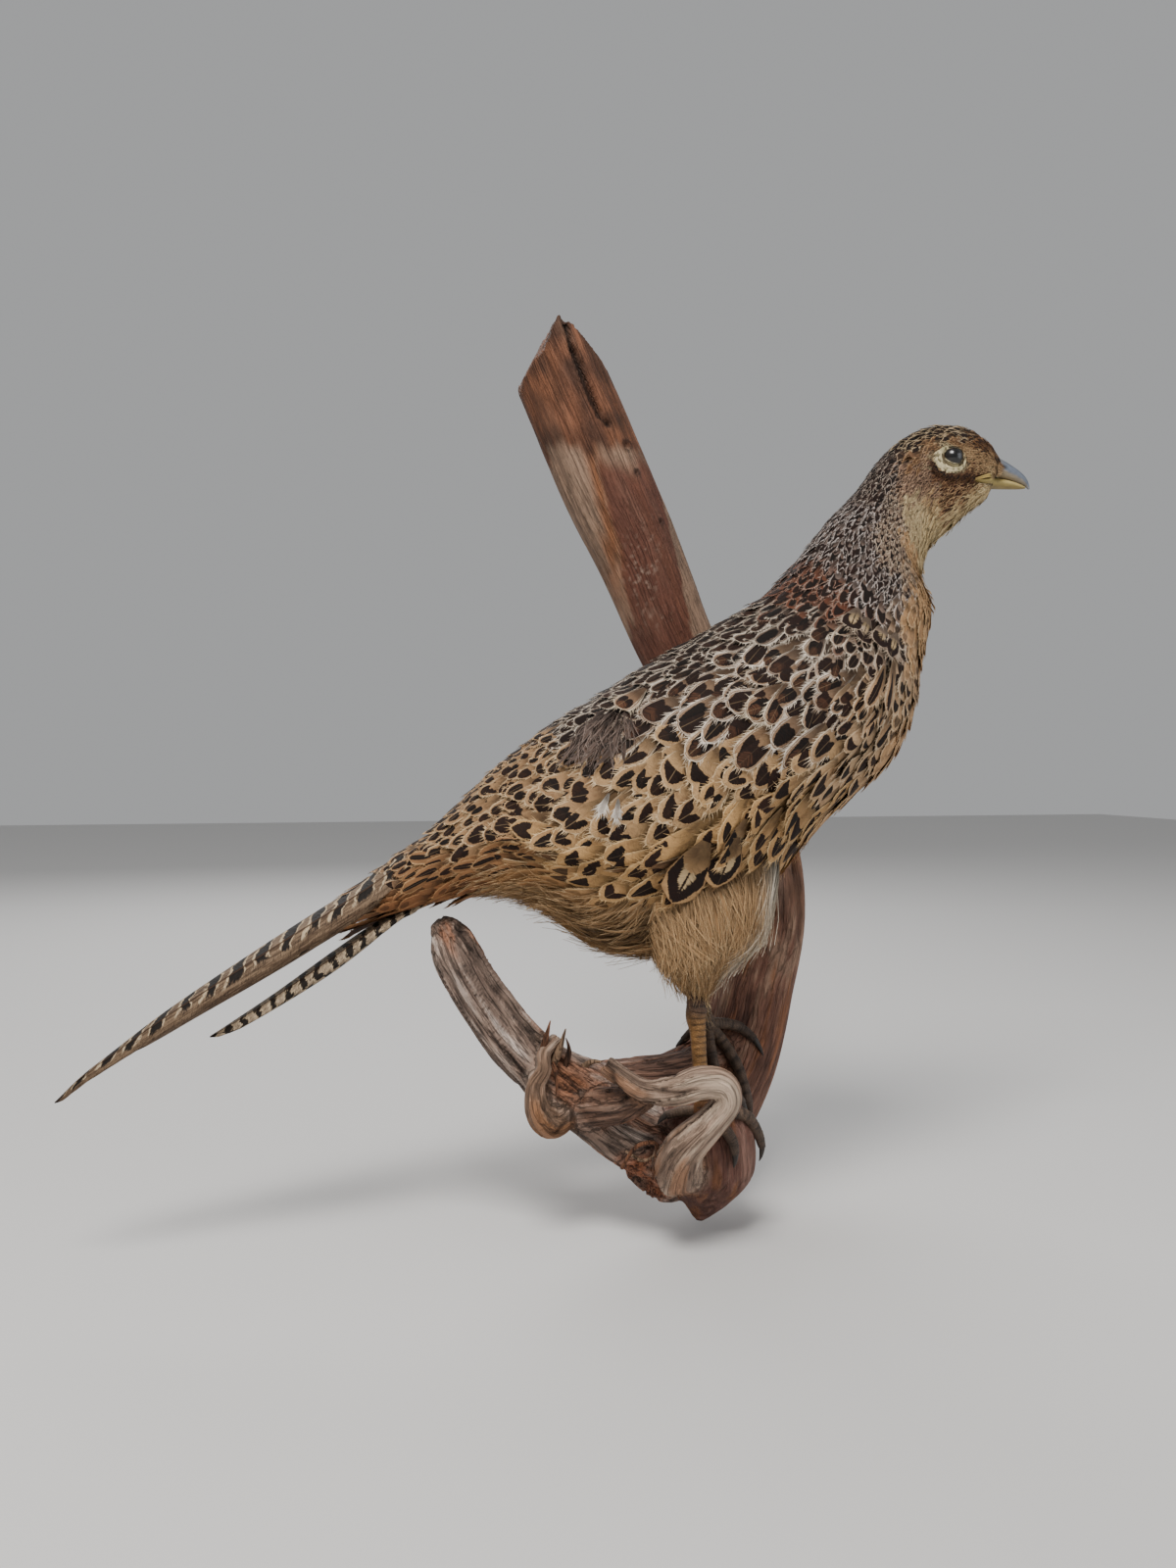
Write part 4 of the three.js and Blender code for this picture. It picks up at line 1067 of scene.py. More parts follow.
# --- the driftwood
# Limbs grown together, in millimetres: X, Y, Z and radius at each bend, after how deeply it is
# fluted.
WOOD = {
    "stem": (.03, [
        (-58, -22, 132, 25), (-37, -22, 85, 25.5), (-14.5, -21, 35, 26), (5, -20.5, -5.5, 24.2),
        (23.5, -20, -48, 22.5), (45, -20, -92, 20), (66, -22, -138, 19), (80, -26, -177, 18.5),
        (78, -34, -214, 19.5), (62, -46, -246, 24), (51, -57, -270, 25), (39, -69, -289, 25),
        (25, -82, -304, 24), (12, -97, -316, 21)]),
    "burl": (.04, [
        (7, -126, -281, 5), (8, -127, -286, 16), (9, -127, -294, 22), (10.5, -127, -306, 24),
        (11.5, -126, -320, 23), (11, -124, -334, 13), (9.5, -122, -346, 2.5)]),
    "heel": (.05, [
        (26, -88, -300, 20), (12, -106, -310, 22), (-6, -120, -314, 22), (-17, -130, -316, 16)]),
    "bridge": (.05, [
        (48, -64, -276, 18), (26, -78, -281, 16.5), (4, -92, -283, 14.5), (-19, -103, -281, 13.5),
        (-38, -110, -278, 11), (-50, -114, -276, 8)]),
    "branch": (.1, [
        (-119.5, -122, -193.5, 4.5), (-115, -122, -200, 9), (-110, -121, -211.5, 11),
        (-100.5, -120, -228.5, 11.6), (-84, -118, -252, 12.8), (-67, -117, -269, 14.5),
        (-46, -116, -284, 18), (-24, -118, -299, 20), (0, -120, -309, 20), (10, -122, -312, 15)]),
    "loop": (.06, [
        (-44, -147, -260, 4.6), (-36, -153, -266, 5), (-27, -160, -270.5, 5.6),
        (-15, -166, -269, 7), (-4, -168.5, -265.5, 7.5), (5.5, -168.5, -267, 7.2),
        (8.5, -168, -275, 7), (1, -166, -285, 7.5), (-9, -161, -297, 9.5), (-10, -152, -308, 12),
        (-6, -140, -313, 14)]),
    "prop": (.05, [
        (-47, -128, -285, 10), (-34, -143, -280, 8.5), (-27, -154, -274, 6.5),
        (-24, -160, -271, 4)]),
    "root": (0, [
        (-63, -128, -251, 3.5), (-70, -131.5, -257, 3.4), (-70.5, -133.5, -264.5, 3.6),
        (-74.5, -133, -272, 4.6), (-73.5, -132, -284, 6.2), (-67, -128, -291, 8.2),
        (-59, -124, -288, 8)]),
}
# Light, middle, dark and warm tone of each limb, and how furrowed it is.
WOOD_TONES = {
    "stem": ("a3826c", "815a49", "3c2119", "8f5a38", .3),
    "burl": ("8a675a", "6f4b40", "3e261d", "80502f", .2),
    "heel": ("bba394", "8a6654", "2a1811", "97532d", 1.),
    "bridge": ("b09586", "876554", "2e1c16", "98552f", .8),
    "branch": ("cbb9ad", "a08879", "33201a", "a06440", .9),
    "loop": ("c0a994", "a48a77", "3a241b", "946544", .7),
    "prop": ("a58c7c", "7d5e4d", "33211a", "854f30", .8),
    "root": ("b8a494", "967862", "3c281c", "96653f", .5),
}
# The broken upper end: a point on each face of the break and the way that the face looks.
BREAKS = [((-65, 0, 86), (-.89, 0, .45)), ((-22, 0, 104), (.66, 0, .75))]
# Cracks, as X and Z from end to end: at the stem's top, at its foot, and a groove.
CRACK = [(-45, 125), (-40, 106), (-36, 98), (-31, 84), (-24.5, 69), (-20, 65)]
# The smooth dark band on the stem: height, and where it begins and ends sideways.
BAND = np.array([(60, -27, 3), (48, -24.5, 7), (27, -20, 12.7), (4, -15.2, 17.8), (-20, -9.0, 24.2),
                 (-44, -2.0, 30.4), (-64, 3, 37), (-120, 24, 62)])
LOW_CRACK = [(89.6, -176), (89.8, -200), (89.7, -221), (87, -243)]  # at the stem's foot
GROOVE = [(-110, -196), (-101, -211), (-91, -228), (-80, -243), (-66, -259)]  # on the branch
KNOTS = [(-8.4, 54.6, 3.0), (-2.9, 39.9, 1.8), (11.6, 14.2, 1.6)]  # X, Z, radius


VOXEL = 1.28  # size of the cells in which the limbs grow together, in millimetres


def line_of(path, per_bend):
    """Centres, directions and two cross directions along a smooth line, with radius and length."""
    rows = np.asarray(path, float)
    u = np.linspace(0, len(rows) - 1, (len(rows) - 1) * per_bend + 1)
    line = spline(rows, u)
    centre, radius = line[:, :3], line[:, 3:]
    ahead = unit(np.gradient(centre, axis=0))
    side = [np.array([.2, 1, .1])]
    for way in ahead:
        side.append(unit(side[-1] - way * np.dot(side[-1], way)))
    side = np.array(side[1:])
    length = np.concatenate([[0], np.cumsum(np.linalg.norm(np.diff(centre, axis=0), axis=1))])
    return centre, ahead, side, np.cross(ahead, side), radius[:, 0], length, u / (len(rows) - 1)


def tube(path, sides, per_bend, flute=0, swell=None):
    """Rings round a smooth line: radius times 1 + flute * (cos 3a + 0.6 cos 5a), closed at the
    ends. swell(length, angle) may change the radius."""
    centre, _, side, third, radius, length, u = line_of(path, per_bend)
    a = 2 * math.pi * np.arange(sides) / sides
    r = radius[:, None] * (1 + flute * (np.cos(3 * a + 2 * u[:, None])
                                        + .6 * np.cos(5 * a - 7 * u[:, None])))
    if swell is not None:
        r = r + swell(length[:, None], a[None])
    points = (centre[:, None] + r[..., None] * (np.cos(a)[None, :, None] * side[:, None]
                                                + np.sin(a)[None, :, None] * third[:, None]))
    ends = np.array([points[0].mean(0), points[-1].mean(0)])
    return (np.concatenate([points.reshape(-1, 3), ends]),
            shut_faces(len(centre), sides, turned=False))


def grown_together(parts, voxel):
    """One closed shell round overlapping closed parts: corners, four-cornered faces, edges."""
    points, faces, start = [], [], 0
    for corners, part_faces in parts:
        points.append(corners)
        faces += [(f + start).tolist() for f in part_faces]
        start += len(corners)
    mesh = bpy.data.meshes.new("rough")
    mesh.from_pydata((np.concatenate(points) * MM).tolist(), [], sum(faces, []))
    rough = placed("rough", mesh)
    change = rough.modifiers.new("shell", "REMESH")
    change.mode, change.voxel_size = "VOXEL", voxel * MM
    whole = rough.evaluated_get(bpy.context.evaluated_depsgraph_get())
    made = whole.to_mesh()
    place = np.empty(len(made.vertices) * 3)
    made.vertices.foreach_get("co", place)
    corner = np.empty(len(made.loops), np.int64)
    made.loops.foreach_get("vertex_index", corner)
    edge = np.empty(len(made.edges) * 2, np.int64)
    made.edges.foreach_get("vertices", edge)
    whole.to_mesh_clear()
    bpy.data.objects.remove(rough)
    return place.reshape(-1, 3) / MM, corner.reshape(-1, 4), edge.reshape(-1, 2)


def smoothed(points, edges, rounds, amount=.5):
    """Each corner moves towards the mean of its neighbours, then nearly as far back."""
    a, b = edges.T
    count = np.bincount(a, minlength=len(points)) + np.bincount(b, minlength=len(points))
    for step in (amount, -amount * 1.02) * rounds:
        mean = np.stack([np.bincount(a, points[b, k], len(points))
                         + np.bincount(b, points[a, k], len(points)) for k in range(3)], -1)
        points = points + step * (mean / count[:, None] - points)
    return points


def normals_of(points, quads):
    """Outward way of each corner: the sum over its faces of the cross product of diagonals."""
    face = np.cross(points[quads[:, 2]] - points[quads[:, 0]],
                    points[quads[:, 3]] - points[quads[:, 1]])
    total = sum(np.stack([np.bincount(quads[:, k], face[:, j], len(points)) for j in range(3)], -1)
                for k in range(4))
    return unit(total)


def near_line(x, z, line):
    """Distance of places in the X, Z plane from a broken line, and how far along it is nearest."""
    best = np.full(x.shape, 1e9)
    where = np.zeros(x.shape)
    for i, ((ax, az), (bx, bz)) in enumerate(zip(line[:-1], line[1:])):
        f = np.clip(((x - ax) * (bx - ax) + (z - az) * (bz - az))
                    / ((bx - ax) ** 2 + (bz - az) ** 2), 0, 1)
        d = np.hypot(x - ax - f * (bx - ax), z - az - f * (bz - az))
        where = np.where(d < best, (i + f) / (len(line) - 1), where)
        best = np.minimum(best, d)
    return best, where


def grained(places, pull, size, seed):
    """A random field that is drawn out along a limb: the length is counted pull times."""
    return lumps(places * [1, 1, pull], size, seed)


def driftwood():
    """The limbs as one shell, smoothed where they join, then furrowed and cracked along the grain
    by random fields that are drawn out along each limb."""
    parts = []
    for name, (flute, path) in WOOD.items():
        points, faces = tube(path, 26, 5, flute)
        if name == "stem":
            axis = unit(np.array([-21.0, 0, 47]))
            shreds = 6 * grained(points, .1, 7, 3) + 4 * grained(points, .1, 3, 4)
            for point, facing in BREAKS:
                facing = unit(np.array(facing))
                cut = np.maximum((points - point) @ facing, 0)
                points = points - axis * (cut / (axis @ facing))[:, None]
            points = points + axis * np.where(points[:, 2] > 62, shreds * .5, 0)[:, None] * (
                ramp(points[:, 2], 70, 84)[:, None])
        parts.append((points, faces))
    points, quads, edges = grown_together(parts, VOXEL)
    points[:, 1] = np.minimum(points[:, 1], 0)
    points = smoothed(points, edges, 5)
    out = normals_of(points, quads)

    # How far each corner is from each limb, and where on it: two ways across, and its length.
    names, near, spots = list(WOOD), [], []
    for name, (_, path) in WOOD.items():
        centre, ahead, side, third, radius, length, _ = line_of(path, 8)
        gap = np.full(len(points), 1e9)
        index = np.zeros(len(points), int)
        for i, (c, r) in enumerate(zip(centre, radius)):
            d = np.linalg.norm(points - c, axis=1) - r
            index = np.where(d < gap, i, index)
            gap = np.minimum(d, gap)
        off = points - centre[index]
        near.append(gap)
        spots.append(joined(np.sum(off * side[index], 1), np.sum(off * third[index], 1),
                            length[index] + np.sum(off * ahead[index], 1)))
    near, spots = np.array(near), np.array(spots)
    order = np.argsort(near, axis=0)
    first, second = order[0], order[1]
    ids = np.arange(len(points))
    lead = near[second, ids] - near[first, ids]
    share = .5 * (1 - ramp(lead, 0, 5))  # of the second limb

    tones = np.array([[hue(c) for c in WOOD_TONES[n][:4]] for n in names])
    furrowed = np.array([WOOD_TONES[n][4] for n in names])

    def grain(which, seed):
        """Furrow depth and tone of the corners, each taken as part of one limb."""
        q = spots[which, ids] + which[:, None] * 37.0
        wide_field = grained(q, .11, 4.2, seed)
        fine_field = grained(q, .09, 1.9, seed + 1)
        crack = np.exp(-(wide_field / .08) ** 2) * ramp(grained(q, .3, 9, seed + 2), -.1, .25)
        hair = np.exp(-(fine_field / .16) ** 2) * ramp(grained(q, .2, 7, seed + 3), -.1, .3)
        rough = furrowed[which]
        depth = (.3 * wide_field + .3 * fine_field) * (.3 + rough) - rough * (
            2.0 * crack + .8 * hair)
        light = np.clip(.5 + .55 * fine_field + .3 * wide_field
                        + .5 * grained(q, .3, 16, seed + 4), 0, 1)
        warm = ramp(grained(q, .16, 9, seed + 5) + .4 * fine_field, .12, .5)
        tone = tones[which]
        colour = over(tone[:, 1], tone[:, 0], ramp(light, .45, 1.0))
        colour = over(colour, tone[:, 2], .55 * ramp(.5 - light, 0.0, .5))
        colour = over(colour, tone[:, 3], warm * .75)
        # Cracks and hair lines are darkened where they are cut in: painted shade in the furrows.
        dark = np.clip(crack + .7 * hair, 0, 1) * (.3 + .7 * rough)
        return depth, over(colour, tone[:, 2] * .4, dark)

    (d1, c1), (d2, c2) = grain(first, 40), grain(second, 40)
    depth = d1 * (1 - share) + d2 * share
    colour = over(c1, c2, share)

    # The stem's own bands, crack, knots and scuffs.
    x, y, z = points.T
    q = spots[0]
    stem = (first == 0) * (1 - ramp(q[:, 2] + 30 * lumps(points, 16, 80), 310, 400))
    across = (x - np.interp(-z, [-132, 177, 230], [-58, 80, 74])) / 24
    ragged = .16 * grained(q, .1, 3, 60) + .14 * grained(q, .14, 11, 61)
    left, right = (np.interp(-z, -BAND[:, 0], BAND[:, k]) for k in (1, 2))
    band = np.minimum(x - left + 16 * ragged, right - x + 12 * ragged)
    band = ramp(band, -.8, .8) * ramp(-z + 14 * grained(q, .2, 10, 62), -56, -38)
    streaks = grained(q, .05, 1.7, 63) * .5 + .5
    smooth_band = lit("643e31", .85 + .25 * (lumps(points, 9, 64) * .5 + .5))
    look = over(lit("957b67", .72 + .5 * streaks), smooth_band, band)
    look = over(look, lit("86522f", .72 + .5 * streaks),
                np.exp(-((x - left + 3 + ragged * 20) / 3.5) ** 2) * ramp(z, -60, 10) * .9)
    torn = over(hue("4a3022"), "7c5038", np.clip(
        .45 + .6 * grained(q, .15, 3, 66) + .7 * lumps(points, 9, 67), 0, 1))
    look = over(look, torn, ramp(z + 12 * lumps(points, 14, 65)
                                 + 7 * grained(q, .3, 3, 79), 46, 60))
    low = ramp(-z + 14 * grained(q, .15, 6, 78), 128, 172) * stem
    seam, _ = near_line(x, z, LOW_CRACK)
    pink, rusty = lit("9b7d70", .8 + .35 * streaks), lit("935f40", .75 + .5 * streaks)
    look = over(look, over(pink, rusty, ramp(across + ragged, .12, .4)), low)
    colour = over(colour, look, ramp(lead, 0, 6) * stem * .88)

    front = (out[:, 1] < .25) & (stem > .5)
    gap, how = near_line(x, z, CRACK)
    gap = gap + lumps(points, 5, 70)
    parted = (1 - ramp(gap, .8, 2.6)) * front * (z > 60)
    depth = depth - 5.5 * parted * (.4 + .6 * np.sin(math.pi * np.clip(how, .05, .95)))
    seam_open = (1 - ramp(seam + .5 * lumps(points, 4, 71), .3, 1.3)) * front
    depth = depth - 1.6 * seam_open
    # The open crack and the seam are darkened by up to four fifths: painted shade inside them.
    colour = colour * (1 - .8 * np.clip(parted + seam_open, 0, 1))[:, None]
    for kx, kz, kr in KNOTS:
        r = np.hypot(x - kx, z - kz) + .3 * lumps(points, 2.5, 72)
        ring = np.exp(-((r - kr) / .8) ** 2) * front
        pit = np.exp(-(r / (kr * .6)) ** 2) * front
        depth = depth + .5 * ring - 1.6 * pit
        # The knot's raised ring is darker in its own colour; its pit is darkened as painted shade
        # in the hollow.
        colour = colour * (1 - .6 * ring - .5 * pit)[:, None]
    scuff = ramp(grained(q, .8, 1.6, 73), .35, .6) * np.exp(
        -(np.hypot((x - 1) / 9, (z + 14) / 22)) ** 2) * front
    scuff += ramp(grained(q, .5, 1.5, 74), .3, .6) * np.exp(
        -(np.hypot((x - 10) / 8, (z + 40) / 5)) ** 2) * front * .8
    colour = over(colour, "a58c7c", np.clip(scuff, 0, 1) * .7)

    # The torn hollow under the loop, full of red fibres.
    away = np.linalg.norm((points - [-14, -146, -300]) / [17, 12, 12], axis=1)
    hollow = (1 - ramp(away, .55, 1.1)) * (first != names.index("loop")) * (
        first != names.index("prop"))
    fibres = lumps(points * [1, .3, .4], 1.4, 75)
    depth = depth - hollow * (4.0 + 1.8 * fibres)
    red = lit("5c2f1c", .5 + .9 * np.clip(fibres * .5 + .5, 0, 1))
    colour = over(colour, red, hollow * .85)

    # Two strands of the left branch, parted by a long groove.
    limb = first == names.index("branch")
    groove, _ = near_line(x, z, GROOVE)
    groove = groove + .8 * lumps(points, 6, 76)
    cut = (1 - ramp(groove, .4, 3.2)) * limb * (out[:, 1] < .3)
    depth = depth - 2.6 * cut
    # The groove is darkened: painted shade in it.
    colour = colour * (1 - .55 * cut)[:, None]

    depth = depth * (1 - ramp(y, -2, -.3))  # the flat back stays on the wall
    points = points + out * depth[:, None]
    points[:, 1] = np.minimum(points[:, 1], 0)
    streaky = np.array([.5, .3, 1, .9, .9, .7, .9, .8])[first] * (1 - .5 * band * stem)
    fields = {"streaky": np.stack([streaky] * 4, -1),
              "tone": np.concatenate([np.clip(colour, 0, 1), share[:, None]], 1),
              "grain": np.concatenate([spots[first, ids] * MM, first[:, None]], 1),
              "grain_two": np.concatenate([spots[second, ids] * MM, second[:, None]], 1)}
    return points * MM, [quads], fields


def wood_finish():
    """The carried tone, with fine streaks and hair cracks drawn out along two grain directions; the
    hair cracks and splits are darkened where the relief cuts in, as painted shade.
    """
    f = Finish("weathered_wood", Specular_IOR_Level=.28)
    share = f.field("tone")[3]
    layers = []
    for title in ("grain", "grain_two"):
        x, y, s, which = f.field(title)
        where = f.joined(x + which * .31, y + which * .17, s * .06)
        fine = f.noise(where, 900.0, 3.0, .62)
        broad = f.noise(where, 260.0, 2.0, .5)
        dash = f.noise(f.joined(x + which * .31, y + which * .17, s * .17), 560.0, 1.5)
        layers.append((fine, broad, dash))
    fine = layers[0][0] * (1.0 - share) + layers[1][0] * share
    broad = layers[0][1] * (1.0 - share) + layers[1][1] * share
    dash = (layers[0][2] * (1.0 - share) + layers[1][2] * share).rise(.58, .64)
    hair = 1.0 - ((broad - .5).size() * 11.0).rise(0.0, .5)
    split = 1.0 - ((fine - .5).size() * 7.0).rise(0.0, .6)
    rough_here = f.noise(f.place(), 60.0, 2.0).rise(.4, .6)
    pores = f.noise(f.place(), 1500.0, 2.0)
    # Darker in the hair cracks and splits: painted shade.
    light = (.66 + fine * .62 + (broad - .5) * .35 + (pores - .5) * .35) * (
        1.0 - hair * .62) * (1.0 - split * rough_here * .5) * (1.0 - dash * .5)
    light = 1.0 + (light * 1.04 - 1.0) * f.field("streaky")[0]
    relief = fine * .6 + broad * .5 - hair * .8 - split * .3 + pores * .25
    return f.finish(f.shade(f.tint("tone"), light), .62 + fine * .25, relief=relief,
                    depth=.0011, strength=.9)


WEATHERED = wood_finish()
build_piece("driftwood", [driftwood()], WEATHERED, ("driftwood",))

# Torn shreds and twigs at the joints: bends with X, Y, Z and radius, in millimetres.
SHREDS = [
    [(-71, -129, -258, 2.2), (-69.5, -133, -249, 1.7), (-67.8, -134.5, -241, .3)],
    [(-66, -128, -265, 2.6), (-63, -133, -255, 2.0), (-60.6, -135.5, -245, .4)],
    [(-60, -127, -266, 2.2), (-58, -131, -257, 1.5), (-60, -133, -250, .3)],
    [(-66, -131, -262, 1.6), (-65, -135.5, -268, 1.4), (-65.4, -136, -276, .3)],
    [(-52, -124, -268, 2.4), (-47, -129, -263, 1.8), (-42, -132, -262.5, .4)],
    [(-40, -126, -272, 2.0), (-36, -133, -268, 1.5), (-33, -137, -269, .3)],
    [(-36, -146, -310, 1.1), (-30, -151, -298.5, 1.3), (-21, -151.5, -297.5, 1.3),
     (-20.5, -150, -306, 1.1), (-21, -147, -316, .6)],
    [(-33, -143, -303, .9), (-26, -149, -306, 1.0), (-19, -150, -302, .4)],
    [(-12, -140, -297, 1.4), (-17, -148, -291, 1.1), (-24, -150, -290, .3)],
    [(-20, -140, -313, 1.6), (-13, -147, -318, 1.3), (-8, -148, -326, .4)],
    [(14, -120, -296, 1.8), (19, -137, -297, 1.5), (21, -143, -306, 1.1), (19, -144, -316, .3)]]
made = []
for k, path in enumerate(SHREDS):
    points, faces = tube(np.array(path) * [1, 1, 1, .75], 10, 6, .12)
    ones = np.ones((len(points), 1))
    tone = hue(("704a34", "8a6f58", "5f4130")[k % 3]) * (1 + .35 * lumps(points, 3, 77))[:, None]
    lie = np.concatenate([points[:, :2] * MM, points[:, 2:] * MM, ones * k], 1)
    made.append((points * MM, faces, {
        "streaky": np.repeat(ones, 4, 1), "grain": lie, "grain_two": lie,
        "tone": np.concatenate([tone, 0 * ones], 1)}))
build_piece("shreds", made, WEATHERED)


# --- tail and flight feathers
TAIL_UPPER = [(-136, -160, -128, -180, 13), (-146.5, -168, -138.5, -188, 15),
              (-158, -177, -151.5, -192, 17), (-199, -203, -191, -215.5, 17),
              (-242, -231.5, -236.5, -240.5, 12), (-267, -250, -263, -255.5, 8),
              (-280, -260, -277, -264, 5), (-291, -271, -289.5, -273, 1.8)]
TAIL_LOWER = [(-126, -182, -124, -188, 9), (-138.5, -189, -136.8, -193, 10),
              (-151, -196, -147.5, -202, 12), (-172, -210, -168, -217, 12.5),
              (-196, -226.5, -193, -232.5, 10), (-213, -237.5, -211, -242.5, 6),
              (-224, -244.5, -223, -246.5, 1.6)]
# Each tail feather: angle round its stack from the top, where it starts and ends on the stack,
# half width in millimetres, how deep it lies under the top one.
UPPER_FEATHERS = [(52, 0, 1, 12.5, 0), (-52, 0, 1, 12.5, .5), (0, 0, .92, 9, .9),
                  (86, 0, .8, 11, 1.2), (-86, 0, .77, 11, 1.6), (112, .02, .66, 10, 2),
                  (-112, .02, .64, 10, 2.4), (138, .04, .58, 9, 2.8), (-138, .04, .55, 9, 3.2),
                  (165, .06, .5, 8, 3.6), (-165, .06, .46, 8, 4)]
LOWER_FEATHERS = [(10, 0, .84, 9, 1.5), (48, 0, 1, 9.5, 0), (-48, 0, .96, 9.5, .5),
                  (90, 0, .93, 9, 1.0), (-90, 0, .88, 9, 1.4), (130, .03, .84, 8.5, 1.8),
                  (-130, .03, .8, 8.5, 2.2), (180, .05, .76, 8.5, 2.6)]
VANE = [(0, .3), (.15, .75), (.4, 1), (.7, .86), (.88, .55), (.96, .28), (1, .05)]


def tail_stack(stations, plan, kind, seed):
    """Long vanes that lie round an oval stack: a corner (u, v) of a vane is on the stack's cut at
    u, at the vane's own angle plus v times the half width over the cut's radius, sunk by the
    vane's depth; a shaft stands up along the middle and the margins are a little split."""
    rng = np.random.default_rng(seed)
    across = np.array([-1, -.8, -.55, -.3, -.09, 0, .09, .3, .55, .8, 1])
    rows, cols = 46, len(across) - 1
    quads, caps, beneath = vane_faces(rows, cols)
    ring = cols + 2
    v = np.append(across, 0.0)[None]
    low = np.append(np.zeros(cols + 1), 1.0)[None]
    parts = []
    last = len(stations) - 1
    for k, (angle, start, end, half, sunk) in enumerate(plan):
        u = np.linspace(0, 1, rows)[:, None]
        place = (start + (end - start) * u) * last
        tx, tz, bx, bz, wide = np.moveaxis(spline(stations, place[:, 0]), -1, 0)
        high = np.hypot(tx - bx, tz - bz) / 2
        up = joined((tx - bx), 0 * tx, (tz - bz)) / (2 * high[:, None])
        centre = joined((tx + bx) / 2, 0 * tx + BIRD_Y, (tz + bz) / 2)
        mean = np.sqrt(np.maximum(wide, 3) * np.maximum(high, 2.5))[:, None]
        profile = np.interp(u, *zip(*VANE)) * half * rng.uniform(.94, 1.06)
        split = 1 - .1 * (lumps(np.concatenate([u * 30, u * 0 + k, u * 0], 1), 1, seed)
                          > .45)[:, None]
        edge = 1 + (np.abs(v) > .99) * (rng.normal(0, .03, (rows, ring)) + split - 1)
        squeeze = np.minimum(1, 1.25 * mean / np.maximum(profile, 1))
        theta = math.radians(angle) * (1 - .35 * u * (abs(angle) < 90)) + v * profile * edge * (
            squeeze / mean) + rng.normal(0, .02)
        depth = sunk * (1 - .5 * u) + low * .3 - .35 * np.exp(-(v / .07) ** 2) * (1 - low) - (
            .25 * np.sin(u * 9 + k) * v)
        fold = np.clip(1 - depth / joined(high, wide).min(1)[:, None], .2, 1.3)
        points = (centre[:, None] + up[:, None] * (np.cos(theta) * high[:, None] * fold)[..., None]
                  + np.array([0, -1.0, 0]) * (np.sin(theta) * wide[:, None] * fold)[..., None])
        long = np.linalg.norm(np.diff(centre, axis=0, prepend=centre[:1]), axis=1).cumsum()
        one, two = rng.uniform(0, 1, 2)
        hand = 1.0 if angle >= 0 else -1.0
        uu, vv, ones = u + 0 * v, v + 0 * u, np.ones((rows, ring))
        lay = joined(long[:, None] / 100 * ones, vv, one * ones, two * ones).reshape(-1, 4)
        look = joined(uu, kind * ones, hand * ones, ones).reshape(-1, 4)
        column = (k + .5) / len(plan)
        flat = joined(column + vv * .36 / len(plan) - .05 / len(plan), .02 + .96 * uu)
        below = joined(column + (.4 + .05 * np.abs(vv)) / len(plan), .02 + .96 * uu)
        flat, below = flat.reshape(-1, 2), below.reshape(-1, 2)
        uv4 = np.where(beneath[:, None, None], below[quads], flat[quads])
        uv = np.concatenate([uv4.reshape(-1, 2), flat[caps].reshape(-1, 2)])
        parts.append((points.reshape(-1, 3) * MM, [quads, caps], {"lay": lay, "look": look}, uv))
    return parts


def tail_finish():
    """Long feathers: black blotches with cream chevrons on the upper vane and streaks on the lower
    one, or marbled bars right across, all drawn out along the barbs."""
    f = Finish("tail_vanes", Specular_IOR_Level=.22)
    s, v, one, two = f.field("lay")
    tip, kind, hand, _ = f.field("look")
    w = v * hand
    out = v.size()
    slant = s * 100.0 - out * 7.0
    streak = f.noise(f.joined(s * 9.0 + one * 50.0, v * 9.0 + two * 20.0, one * 7.0), 1.0, 4.0, .7)
    barb = f.noise(f.joined(slant * 1.6 + one * 50.0, v * 1.2, two * 9.0), 1.0, 3.0, .65)
    wander = f.noise(f.joined(s * 34.0 + one * 30.0, v * 1.3, two * 30.0), 1.0, 3.0, .7) - .5
    drift = f.noise(f.joined(s * 8.0 + one * 70.0, v * 1.1, two * 40.0), 1.0, 2.0) - .5
    rag = (barb - .5) * .5 + wander * .5
    beat = (s * (7.4 + kind * 5.0) + drift * .9 - w * .46 * (1.0 - kind) - out * .16 * kind
            + rag * (.42 + kind * .9) + one).part()
    upper = (1.0 - (w + rag * 1.4 - .46 + drift * .8).rise(-.1, .06)) * (1.0 - kind) + kind
    blotch = beat.rise(.08, .12) * (1.0 - beat.rise(.5, .56)) * upper
    chevron = (beat.rise(.54, .58) * (1.0 - beat.rise(.64, .7)) + beat.rise(0.0, .03) * (
        1.0 - beat.rise(.06, .09)))
    chevron = chevron * (1.0 - (w + rag - .3 + drift).rise(0.0, .25) * (1.0 - kind)) * (
        wander + .5).rise(.3, .45)
    flecks = f.noise(f.joined(slant * 2.4, v * 3.0, one * 30.0), 1.0, 3.0, .7).rise(.54, .62)
    shaft = 1.0 - out.rise(.03, .06)
    base = f.layered(
        f.mix(streak.rise(.35, .65), "4a3829", "806a54"), (kind * .7, "a39078"),
        (out.rise(.8, 1.0) * .55, "4a3526"),
        (flecks * (.5 + kind * .3 + w.rise(0.0, .5) * .4), "24160f"),
        (chevron * .85, "c0ab8c"), (blotch * .98, "0f0805"),
        (tip.rise(.95, .98) * .9, "1c110b"), (shaft * .85, "3f2b1d"))
    colour = f.shade(base, .62 + barb * .4 + streak * .35)
    return f.finish(colour, .5 + barb * .25, relief=barb * .8 + streak * .5 + shaft,
                    depth=.0006, strength=.9)


TAIL = tail_finish()
for name, stations, plan, kind in (("tail_upper", TAIL_UPPER, UPPER_FEATHERS, 0),
                                   ("tail_lower", TAIL_LOWER, LOWER_FEATHERS, 1)):
    build_piece("vanes_" + name, tail_stack(stations, plan, kind, 70 + kind), TAIL,
                (name,), crease=50)

